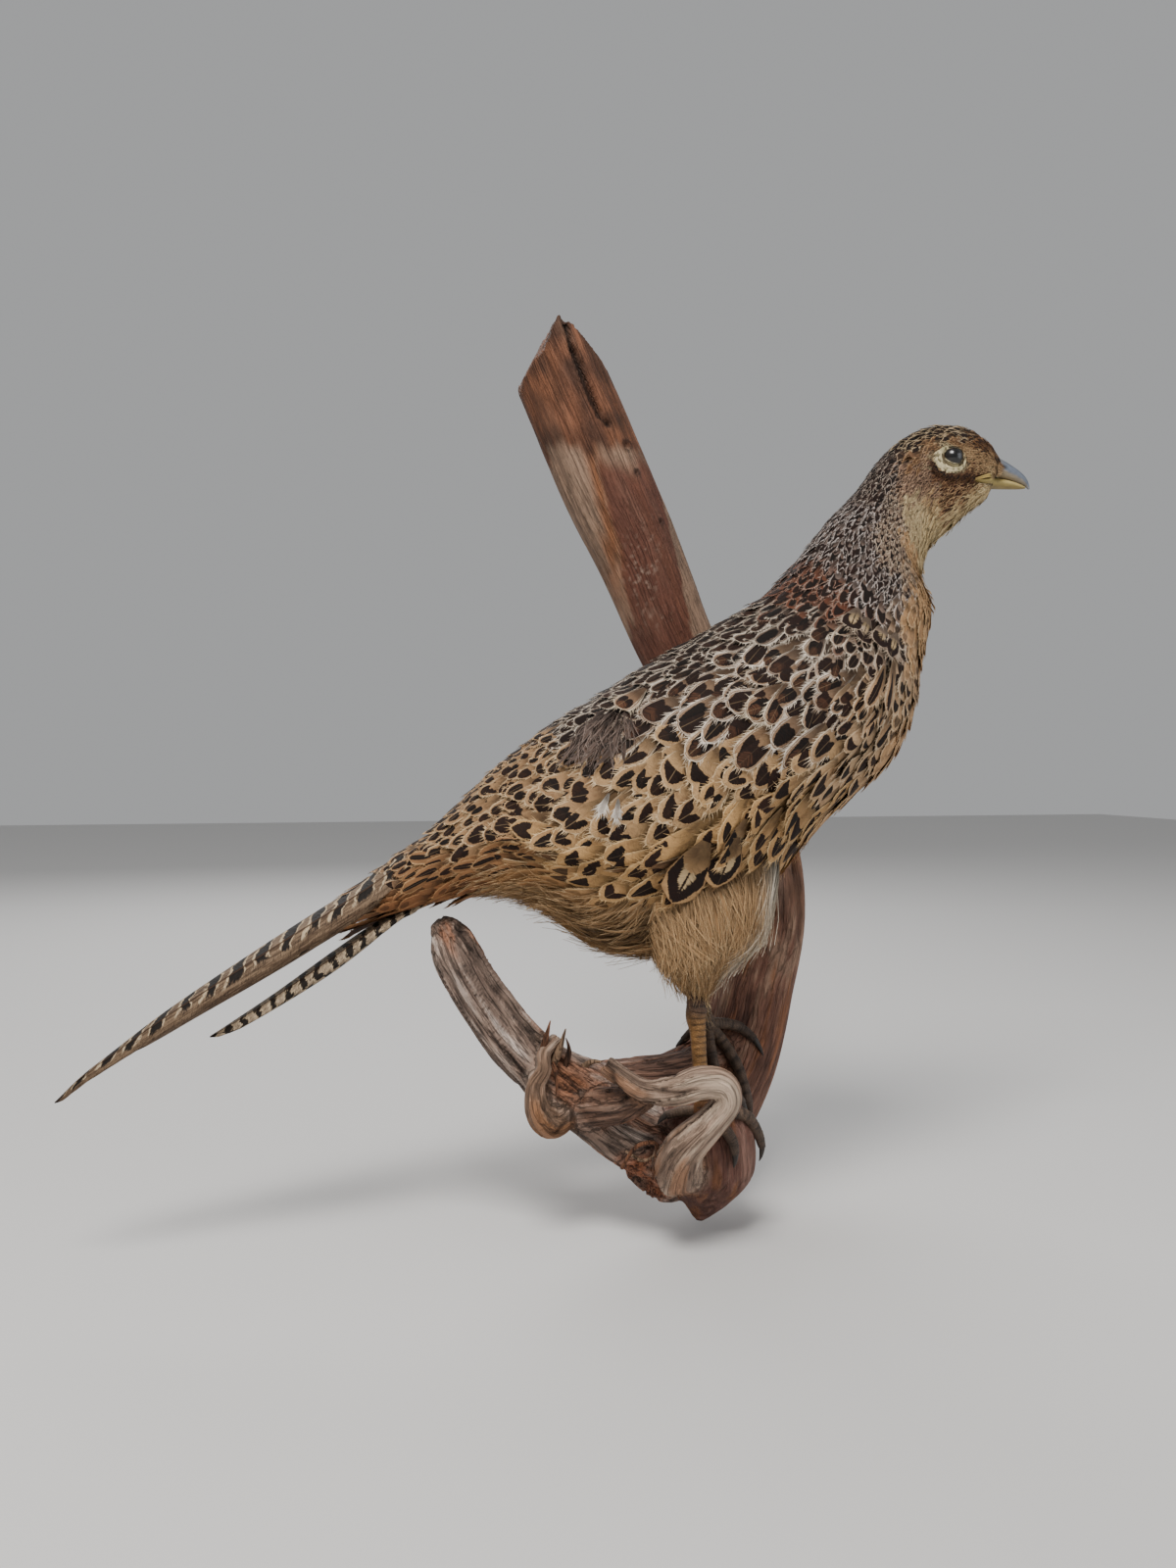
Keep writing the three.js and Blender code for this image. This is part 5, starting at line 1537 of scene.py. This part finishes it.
# The folded flight feathers: long vanes along the wing's lower edge, each starting further back.
QUILL = dict(rows=[0, .1, .2, .3, .4, .5, .6, .7, .78, .86, .92, .97, 1], cols=6, profile=[
    (0, .5), (.3, 1), (.75, .9), (1, .45)], round=.1, slope=.012, camber=.1, spikes=12,
    fringe=.0016, barb=.0003, lift=.0008, ruffle=.015, sway=.012, ragged=.03)
parts = []
for side in (1, -1):
    k = np.arange(7)
    start = 13.3 + .3 * k
    lower = along(WING_LOWER, start)
    far = along(WING_LOWER, start + 2.3)
    roots = dict(t=start, phi=side * np.radians(lower - .5 - .2 * k), dt=np.full(7, .24),
                 dphi=np.full(7, math.radians(6)))
    bend = np.arctan2(np.radians(lower - far) * .05, 2.3 * .028)
    parts.append(feathers(roots, {"length": np.linspace(.05, .06, 7), "half": np.full(7, .0036),
                                  "turn": -bend, "lift": .0016 - .00016 * k}, QUILL, 80 + side,
                          numbers=np.repeat(KIND_NUMBERS["flight"][None], 7, 0),
                          span=(12, 18, -math.pi, math.pi)))
build_plumage("folded_quills", parts)


# --- soft plumage of belly and legs
HAIR = dict(rows=[0, .3, .6, .85, 1], cols=2, profile=LOCK, round=0, slope=.1, camber=.3, spikes=4,
            fringe=.004, barb=.00012, thick=.0003, ruffle=.09, sway=.14, ragged=.08, curl=-.05)
STRAND = dict(rows=[0, .25, .5, .75, 1], cols=1, profile=LOCK, round=0, slope=.14, camber=.1,
              spikes=0, thick=.00016, ruffle=.14, sway=.2, ragged=.0, curl=-.02)


def soft_numbers(n, rng, kind="belly", bright=(.72, 1.15), pale=None):
    """Down of one kind, a little darker or paler from lock to lock."""
    numbers = np.repeat(KIND_NUMBERS[kind][None], n, 0)
    numbers[:, :6] = numbers[:, :6] * rng.uniform(*bright, (n, 1))
    if pale is not None:
        white = np.tile(hue("e4dac8"), 2)
        numbers[:, :6] += (white - numbers[:, :6]) * pale[:, None]
    return numbers


def down_of(gap, shape, seed, surface, stations, choose, dress, **more):
    """Soft locks over a surface: choose(roots), if given, says which stay, and
    dress(roots, rng) gives their sizes and numbers."""
    roots = rows_of_roots(stations, [(0, gap)], [(0, gap)], seed, .35, surface=surface)
    if choose:
        roots = only(roots, choose(roots))
    rng = np.random.default_rng(seed)
    size, numbers = dress(roots, rng)
    return feathers(roots, size, shape, seed, surface=surface, numbers=numbers, **more)


def on_belly(roots):
    """Roots below the wing, behind a line that slopes from the belly up to the flank."""
    t, a = roots["t"], side_angle(roots["phi"])
    return (a > along(WING_LOWER, t) + 1) & (t > 12.2) & (t < 17.9) & (
        a > along([(12.2, 172), (13.2, 152), (14.0, 130), (14.7, 108), (17.9, 90)], t))


def belly_dress(length, half, bright):
    """Locks of the belly: longest behind the legs, turned in patches, loose underneath."""
    def dress(roots, rng):
        """Sizes and numbers of the locks."""
        n = len(roots["t"])
        a = np.radians(side_angle(roots["phi"]))
        patchy = patches(roots["t"] * 22, roots["phi"] * 50, 9, 93)
        reach = along([(12, .8), (14.5, 1.2), (16, 1.15), (18, .55)], roots["t"])
        hang = along([(13.6, 0), (15, .0035), (16, .0045), (17.4, 0)], roots["t"])
        numbers = soft_numbers(n, rng, "belly", bright)
        numbers[:, :6] *= (1.04 - .3 * ramp(patchy, .05, .5))[:, None]
        return ({"length": length * reach * rng.uniform(.7, 1.15, n),
                 "half": half * rng.uniform(.7, 1.3, n),
                 "lift": hang * ramp(np.degrees(a), 115, 145) * rng.uniform(.4, 1.2, n),
                 "turn": (.15 + .75 * np.sin(a)) * ramp(-roots["t"], -17.5, -15) + .6 * patchy
                         + rng.normal(0, .14, n)}, numbers)
    return dress


def thigh_dress(length, half, bright):
    """Locks of the thigh: paler in front, longer and loose behind, darker towards the shank."""
    def dress(roots, rng):
        """Sizes and numbers of the locks."""
        n = len(roots["t"])
        t, front = roots["t"], np.cos(roots["phi"] - .25)
        pale = ramp(front, .3, .8) * ramp(-t, -3.4, -2.4) * .85
        rear = ramp(-front, .1, .8) * ramp(-t, -3, -1.5)
        wave = patches(t * 14, roots["phi"] * 14, 9, 96)
        reach = along([(0, 1.3), (1, 1.15), (2.2, 1.1), (3, .95), (3.9, .7)], t)
        numbers = soft_numbers(n, rng, "belly", bright, pale)
        numbers[:, :6] *= (1 - .45 * ramp(t, 3.3, 3.9))[:, None]
        return ({"length": length * reach * (1 + .35 * rear) * rng.uniform(.75, 1.15, n),
                 "half": half * rng.uniform(.7, 1.3, n), "lift": .004 * rear,
                 "turn": .5 * wave + rng.normal(0, .12, n)}, numbers)
    return dress


BELLY_SPAN = (12, 18.1, -math.pi, math.pi)
down_parts = {
    "down_belly": [down_of(2.9, HAIR, 91, body_surface, (12.2, 17.9), on_belly,
                           belly_dress(.027, .0015, (.82, 1.2)), span=BELLY_SPAN)],
    "hair_belly": [down_of(1.9, STRAND, 92, body_surface, (12.2, 17.9), on_belly,
                           belly_dress(.027, .00026, (.9, 1.4)), span=BELLY_SPAN)],
    "down_thighs": [], "hair_thighs": []}
for side in (1, -1):
    for name, gap, shape, seed, dress, depth in (
            ("down_thighs", 2.5, HAIR, 94, thigh_dress(.019, .0013, (.7, 1.05)), .0022),
            ("hair_thighs", 1.55, STRAND, 97, thigh_dress(.02, .00024, (.85, 1.4)), .0018)):
        whole = (-.2 - 3.5 * (side < 0), 7 - 3.5 * (side < 0), -math.pi, math.pi)
        down_parts[name].append(down_of(gap, shape, seed + side, thigh_surface(side), (.35, 3.85),
                                        None, dress, depth=depth, span=whole))
for name, made in down_parts.items():
    build_plumage(name, made)

# Large flank feathers hang over the thigh, with dark chevrons round pale drops.
flank = rows_of_roots((12.3, 15.3), [(0, 13)], [(0, 11)], 101, .25)
t, below = flank["t"], side_angle(flank["phi"]) - along(WING_LOWER, flank["t"])
mask = (below > -1) & (below < 20 - 6 * np.abs(t - 13.9))
flank, t, below = only(flank, mask), t[mask], below[mask]
n = len(t)
rng = np.random.default_rng(102)
numbers = over(np.repeat(KIND_NUMBERS["side"][None], n, 0), KIND_NUMBERS["barred"],
               ramp(below, 15, 18) * ramp(-t, -14.0, -13.6))
size = {"length": .03 * rng.uniform(.85, 1.1, n), "half": .0068 * rng.uniform(.9, 1.1, n),
        "turn": .35 + rng.normal(0, .12, n), "lift": np.full(n, .0012)}
build_plumage("feathers_flank", [feathers(flank, size, dict(
    COVERT, fringe=.0045, barb=.00016, slope=.08), 103, numbers=numbers)])


# --- ruffled grey down on the back
def on_patch(roots):
    """Roots in an oval on the bird's right side of the back, its border broken up."""
    t, a = roots["t"], side_angle(roots["phi"])
    off = np.hypot((t - 13.65) * 24 / 16, np.radians(a - 37) * 57 / 10)
    off = off + .25 * patches(t * 20, a, 6, 111) + .3 * patches(t * 90, a * 3, 1.5, 115)
    return (roots["phi"] > 0) & (off < 1)


def patch_dress(length, half, bright):
    """Ruffled locks: they stand up, and turn in swirls."""
    def dress(roots, rng):
        """Sizes and numbers of the locks."""
        n = len(roots["t"])
        swirl = patches(roots["t"] * 22, roots["phi"] * 50, 10, 112)
        return ({"length": length * rng.uniform(.6, 1.15, n), "half": half * rng.uniform(
            .6, 1.4, n), "turn": .5 + 1.1 * swirl + rng.normal(0, .2, n),
            "lift": rng.uniform(.0015, .0035, n)}, soft_numbers(n, rng, "downy", bright))
    return dress


TOUSLED = dict(HAIR, slope=.12, ruffle=.16, curl=-.1, sway=.25)
ruffle = [down_of(3.6, TOUSLED, 113, body_surface, (12.6, 15.3), on_patch,
                  patch_dress(.016, .0012, (.3, .95))),
          down_of(1.7, dict(STRAND, ruffle=.2, curl=-.1), 114, body_surface, (12.6, 15.3), on_patch,
                  patch_dress(.015, .00026, (.5, 1.5)))]
build_plumage("ruffled_down", ruffle)

# Feathers that stand out from the rest: station, angle, length, half width, turn, lift, kind.
STRAYS = [(13.95, 104, 31, 10, .55, 4.2, "flank"), (13.6, 112, 29, 9.5, .6, 4.0, "flank"),
          (13.3, 110, 24, 7.5, .5, 2.6, "flank"), (12.45, 31, 19, 6.5, .1, 2.6, "edged"),
          (14.55, 66, 11, 1.7, .6, 3.4, "pale"), (14.5, 70, 10, 1.5, 1.0, 3.0, "pale"),
          (9.5, 112, 27, 4.6, .15, 2.2, "streak"), (9.8, 106, 24, 4.2, .1, 2.0, "streak"),
          (8.95, 86, 15, 5.4, .1, 2.0, "spot"), (8.9, 97, 14, 5.2, .1, 2.0, "spot"),
          (8.85, 77, 14, 5.2, .1, 2.0, "spot"), (8.95, 108, 14, 5.0, .1, 1.8, "spot")]
t, a, length, half, turn, lift = np.array([row[:6] for row in STRAYS], float).T
roots = dict(t=t, phi=np.radians(a), dt=np.full(len(t), .25), dphi=np.full(len(t), .12))
build_plumage("feathers_stray", [feathers(
    roots, {"length": length * MM, "half": half * MM, "turn": turn, "lift": lift * MM},
    dict(COVERT, fringe=.0035, barb=.00016, curl=.04), 121,
    numbers=np.array([KIND_NUMBERS[row[6]] for row in STRAYS]), span=(8, 16, -.5, math.pi))])


# --- eyes and bill
def eye_finish():
    """Black pupil and a very dark brown iris under clear glass."""
    f = Finish("eye_glass", Specular_IOR_Level=.5, Coat_Roughness=.1, Coat_IOR=1.45)
    x, y, z, _ = f.field("iris")
    rim = x.rise(.52, .6) * (1.0 - x.rise(.8, .95))
    rays = f.noise(f.joined(y * 14.0, x * 3.0, z * 14.0), 1.0, 2.0)
    colour = f.mix(rim * (.4 + rays * .5), "040404", "170d08")
    return f.finish(colour, .24, coat=.35)


EYE_GLASS = eye_finish()
for side, name in SIDES:
    rows, cols, front = 31, 48, 1.035  # the clear front stands out a little
    p, a = np.meshgrid(np.linspace(0, math.pi, rows + 2)[1:-1],
                       2 * math.pi * np.arange(cols) / cols, indexing="ij")
    bulge = 1 + (front - 1) * np.exp(-(p / .55) ** 2)
    ball = EYE_RADIUS * bulge[..., None] * joined(np.sin(p) * np.cos(a), -side * np.cos(p),
                                                  side * np.sin(p) * np.sin(a))
    ball = np.concatenate([ball.reshape(-1, 3), [[0, -side * EYE_RADIUS * front, 0],
                                                 [0, side * EYE_RADIUS, 0]]])
    ball = ball + [EYE_CENTRE[0], BIRD_Y - side * EYE_CENTRE[1], EYE_CENTRE[2]]
    radial = np.concatenate([np.sin(p).ravel() + (p.ravel() > 1.57), [0, 2]])
    turn = np.concatenate([a.ravel(), [0, 0]])
    field = joined(radial, np.cos(turn), np.sin(turn), 0 * turn)
    build_piece("eyeball_" + name, [(ball * MM, shut_faces(rows, cols), {"iris": field})],
                EYE_GLASS, ("eye_" + name,))

BILL_UPPER = [(166.5, 40.2, 162, 28, 6.2), (169.9, 38.9, 167.3, 28.1, 5.6),
              (174, 37.1, 171.8, 28.0, 5.0), (178, 35.1, 176.2, 27.3, 4.3),
              (182.4, 32.7, 181, 26.3, 3.3), (186.0, 30.0, 184.4, 25.4, 2.2),
              (188.3, 26.8, 186.8, 24.4, 1.2), (189.2, 23.8, 188.3, 23.2, .45)]
BILL_LOWER = [(151.6, 24.6, 151.4, 23.4, 3), (155.4, 25.7, 154.8, 22.2, 4.5),
              (161, 27.5, 159.6, 21.6, 5.2), (167.1, 28.0, 165.6, 22.7, 4.8),
              (171, 27.9, 170.5, 22.8, 4.3), (175, 27.5, 174.6, 22.9, 3.7),
              (179, 26.8, 179, 23.0, 2.9), (183, 25.8, 183.2, 23.2, 1.8),
              (186.2, 24.7, 186.3, 23.6, .7)]


def bill_half(stations, upper):
    """Cuts from the root to the tip, ridged above, with the nostril under its flap, a cutting
    edge that stands out a little, and worn growth lines."""
    rows, cols = 64, 56
    t = np.linspace(0, len(stations) - 1, rows)[:, None]
    a = 2 * math.pi * np.arange(cols)[None] / cols
    tx, tz, bx, bz, half = np.moveaxis(spline(stations, t), -1, 0)
    c, s = np.cos(a), np.sin(a)
    ridge = .92 if upper else 1.1
    x = (tx + bx) / 2 + (tx - bx) / 2 * c
    z = (tz + bz) / 2 + (tz - bz) / 2 * np.sign(c) * np.abs(c) ** ridge
    if not upper:  # its root widens to the sides of the face and ends at the corner of the mouth
        x_mid, z_mid = (tx + bx) / 2, (tz + bz) / 2
        face = on_head(np.minimum(x_mid, 164), z_mid) + .1 - .5 * ramp(-x_mid, -154, -151)
        half = half + np.maximum(face - half, 0) * (1 - ramp(x_mid, 161, 168))
    y = half * np.sign(s) * np.abs(s) ** .8
    y = y * (1 - (.22 if upper else .05) * ramp(c, .1, 1))
    lip = np.exp(-((c + (.78 if upper else -.78)) / .16) ** 2)
    y = y * (1 + .06 * lip * ramp(x, 163, 168))
    if upper:
        nose = np.exp(-((x - 171.3) / 1.9) ** 2 - ((z - 33.0 + .25 * (x - 171)) / .75) ** 2)
        flap = np.exp(-((x - 170.8) / 2.8) ** 2 - ((z - 34.9 + .25 * (x - 171)) / 1.5) ** 2)
        y = y + np.sign(y) * (.55 * flap - 1.1 * nose)
    points = joined(x, BIRD_Y - y, z)
    points = points + .05 * lumps(points, 1.2, 7)[..., None] * [0, 1, .5]
    rise = (z - bz) / np.maximum(tz - bz, .2)
    front = t / (len(stations) - 1)
    mottle = lumps(points, 2.0, 8) * .5 + .5
    if upper:
        tone = lit("5d6470", .75 + .45 * mottle)
        tone = over(tone, "2c2f36", ramp(rise, .72, .98) * .7)
        tone = over(tone, "8f7c56", ramp(-rise + .12 * mottle, -.38, -.14) * (.95 - .57 * front))
        # The pale tip, and the nostril's pit darkened by three quarters: painted shade in it.
        tone = over(tone, "7f8490", ramp(front, .75, 1) * .5) * (1 - .75 * nose)[..., None]
        tone = over(tone, "5f564b", ramp(-front, -.3, -.12) * .6)
    else:
        tone = lit("8f7c44", .8 + .3 * mottle)
        tone = over(tone, "b5a169", ramp(rise, .35, .8) * ramp(front, .45, .65) * .7)
        tone = over(tone, "6f5c38", ramp(-rise, -.35, 0) * .5)
    points = np.concatenate([points.reshape(-1, 3), [points[0].mean(0), points[-1].mean(0)]])
    tone = tone.reshape(-1, 3)
    tone = np.concatenate([tone, [tone[0], tone[-1]]])
    return points * MM, shut_faces(rows, cols), {"tone": carried(tone)}


def horn_finish():
    """Horn with fine lines along it and dull worn patches."""
    f = Finish("bill_horn", Specular_IOR_Level=.45)
    lines = f.noise(f.place(), 900.0, 3.0, .6, stretch=(.25, 1.0, 1.0))
    worn = f.noise(f.place(), 420.0, 2.0)
    return f.finish(f.shade(f.tint("tone"), .75 + lines * .35 + worn * .15),
                    .44 + worn * .24, relief=lines, depth=.0003, strength=.8)


HORN = horn_finish()
# The yellow lips run back from the bill to the corner of the gape.
lips = []
for side in (1, -1):
    for drop, radius in ((.8, .6), (-.45, .52)):
        line = spline(GAPE, np.linspace(0, len(GAPE) - 1, 9))
        out = on_head(np.minimum(line[:, 0], 163), line[:, 1]) - .25
        out = out + (5.3 - out) * ramp(line[:, 0], 159, 166)
        taper = np.linspace(1, .45, 9)
        path = joined(line[:, 0], BIRD_Y - side * out, line[:, 1] + drop * taper,
                      radius * taper)
        points, faces = tube(path, 12, 5)
        tone = over(lit("a08848", 1 + .25 * lumps(points, 1.4, 41)), "7a6038",
                    ramp(-points[:, 0], -156, -150) * .7)
        lips.append((points * MM, faces, {"tone": carried(tone)}))
build_piece("gape", lips, HORN)
for name, stations, upper in (("bill_upper", BILL_UPPER, True), ("bill_lower", BILL_LOWER, False)):
    build_piece("horn_" + name, [bill_half(stations, upper)], HORN, (name,))


# --- legs and feet
TARSUS_RIGHT = [(.5, -145, -222, 4.0), (.8, -145, -229, 4.4), (1, -145, -235, 4.9),
                (.8, -145, -240, 4.9), (1.5, -145.3, -247, 3.9), (2, -146.3, -258, 3.5),
                (2.5, -147, -269, 3.6), (3, -148, -279, 4.0), (3, -148, -285, 4.4)]
TARSUS_LEFT = [(14, -95, -218, 4.0), (16, -95, -224, 4.6), (18, -94, -231, 4.8),
               (19, -92, -238, 4.2), (20.5, -90.2, -245, 3.9), (22, -88.5, -252, 4.2),
               (23, -88, -256, 4.2)]
TOES = {
    "right": [
        [(3, -148, -280, 4.0), (4, -148, -287, 4.8), (5, -147, -292, 3)],
        [(4, -148, -287, 4), (14, -146.3, -285.8, 3.3), (26.4, -142.5, -289.5, 3),
         (33.6, -139.3, -298.9, 2.6),
         (37, -137, -307, 1.8), (35.5, -137, -314, .3)],
        [(4, -147, -287, 3.6), (12.4, -141.2, -280.9, 3), (23.6, -131.6, -281.5, 2.8),
         (31, -124.2, -288.5, 2.2), (35, -121, -297, .3)],
        [(4, -148, -287, 3.6), (10, -152, -290, 3), (16, -152, -297, 2.7), (18.5, -151, -305, 2),
         (18, -150, -312, .3)],
        [(3, -147, -285, 3), (-5, -143, -285.5, 2.5), (-12, -139, -288, 2), (-16, -137, -293, .3)]],
    "left": [
        [(22, -88.5, -250, 4.2), (24, -87, -257, 4.8), (25, -87, -262, 3)],
        [(24, -87.5, -257, 4), (32, -89.3, -265.7, 3.3), (39.1, -93.9, -278.8, 3),
         (42.6, -98.4, -293, 2.5), (43.9, -99.2, -300.9, 1.6), (43, -99.5, -307.3, .3)],
        [(24, -87.5, -257, 3.6), (24, -93, -266, 3), (25, -98, -276, 2.6),
         (26.4, -102.7, -283.4, 1.8), (27.8, -105.8, -289.6, .3)],
        [(24, -87, -257, 3.6), (33, -84, -257, 3), (43.9, -81.5, -260.1, 2.8),
         (51.5, -84, -266.4, 2.2), (56.1, -85.6, -275.2, .3)],
        [(24, -86, -255, 3), (19, -80, -261, 2.5), (15, -75.5, -266.8, 2),
         (11.6, -72, -271.1, .3)]],
}


def scaled_limb(path, per_bend, plate, tone, sides=28, strength=.28):
    """A tube with overlapping plates: the radius steps up by a saw of the length, most on the
    front, and small round scales behind."""
    def swell(s, a):
        saw = (s / plate + .06 * np.sin(2 * a)) % 1
        return strength * (saw - .5) * ramp(np.sin(a), -.8, -.2) + .12 * np.sin(7 * a + 2.2 * s) * (
            np.sin(2.6 * s))
    points, faces = tube(path, sides, per_bend, 0, swell)
    length, u = line_of(path, per_bend)[5:]
    a = 2 * math.pi * np.arange(sides) / sides
    s, angle = np.meshgrid(length, a, indexing="ij")
    saw = (s / plate + .06 * np.sin(2 * angle)) % 1
    groove = np.exp(-((saw - .02) / .12) ** 2) + np.exp(-((saw - 1.02) / .12) ** 2)
    shade = 1 - .7 * np.clip(groove, 0, 1) * ramp(np.sin(angle), -.9, -.3)
    mottle = lumps(points[:-2], 2.2, 17).reshape(s.shape) * .5 + 1
    colour = tone(u[:, None]) * (shade * mottle)[..., None]
    colour = np.concatenate([colour.reshape(-1, 3), colour[0, :1], colour[-1, :1]])
    return points * MM, faces, {"tone": carried(colour)}


def leg_finish():
    """Dry scaled skin: round scales parted by dark lines over the carried tone."""
    f = Finish("leg_scales", Specular_IOR_Level=.35)
    cells = f.cells(f.place(), 900.0, "DISTANCE_TO_EDGE")
    dust = f.noise(f.place(), 700.0, 3.0)
    line = 1.0 - cells.rise(.02, .16)
    colour = f.shade(f.tint("tone"), .85 + dust * .35 - line * .3)
    return f.finish(colour, .5 + dust * .25, relief=cells * 1.5 + dust * .3, depth=.0004,
                    strength=.8)


SCALES = leg_finish()


def shank_tone(near):
    """Colour by the share of the length: three zones on the near shank, two on the far one."""
    def tone(u):
        if near:
            upper = over(hue("453123"), "7d5a33", ramp(u, .25, .48))
            return over(upper, "6b452b", ramp(u, .7, .95) * .8)
        return over(hue("5c4a38"), "43362c", ramp(u, .2, .8))
    return tone


def toe_tone(near):
    """Colour of a toe, darker to its claw, lighter on the near foot and darker on the far one:
    painted light and shade.
    """
    return lambda u: over(hue("5a4636"), "41342b", u) * (1.1 if near else .95)


for side, path in (("right", TARSUS_RIGHT), ("left", TARSUS_LEFT)):
    near = side == "right"
    shank = scaled_limb(path, 14, 3.0, shank_tone(near), strength=.32)
    build_piece("shank_" + side, [shank], SCALES, ("tarsus_" + side,))
    limbs, claws = [], []
    for k, toe in enumerate(TOES[side]):
        toe = np.array(toe, float)
        if k == 0:
            limbs.append(scaled_limb(toe, 10, 2.0, toe_tone(near)))
            continue
        limbs.append(scaled_limb(toe[:-1], 12, 1.7, toe_tone(near), sides=22, strength=.3))
        root, tip, wide = toe[-2, :3], toe[-1, :3], toe[-2, 3]
        ahead = unit(root - toe[-3, :3])
        points, faces = tube([[*(root - ahead * 2.2), wide * .55], [*root, wide * .8],
                              [*((root + tip) / 2 + ahead * .9), wide * .5], [*tip, .18]], 16, 8)
        tone = lit("2b241f", 1 + .3 * lumps(points, 1.5, 18))
        claws.append((points * MM, faces, {"tone": carried(tone)}))
    build_piece("toes_" + side, limbs, SCALES, ("foot_" + side,))
    build_piece("claws_" + side, claws, HORN, ("foot_" + side,))


# --- floor
floor_mesh = bpy.data.meshes.new("floor")
floor_mesh.from_pydata([(x, y, FLOOR_Z) for x, y in ((-3, -2), (3, -2), (3, 4), (-3, 4))], [],
                       [(0, 1, 2, 3)])
floor = placed("floor", floor_mesh)
floor_finish = Finish("floor", Specular_IOR_Level=.2)
floor_mesh.materials.append(floor_finish.finish((.62, .61, .6), .8))
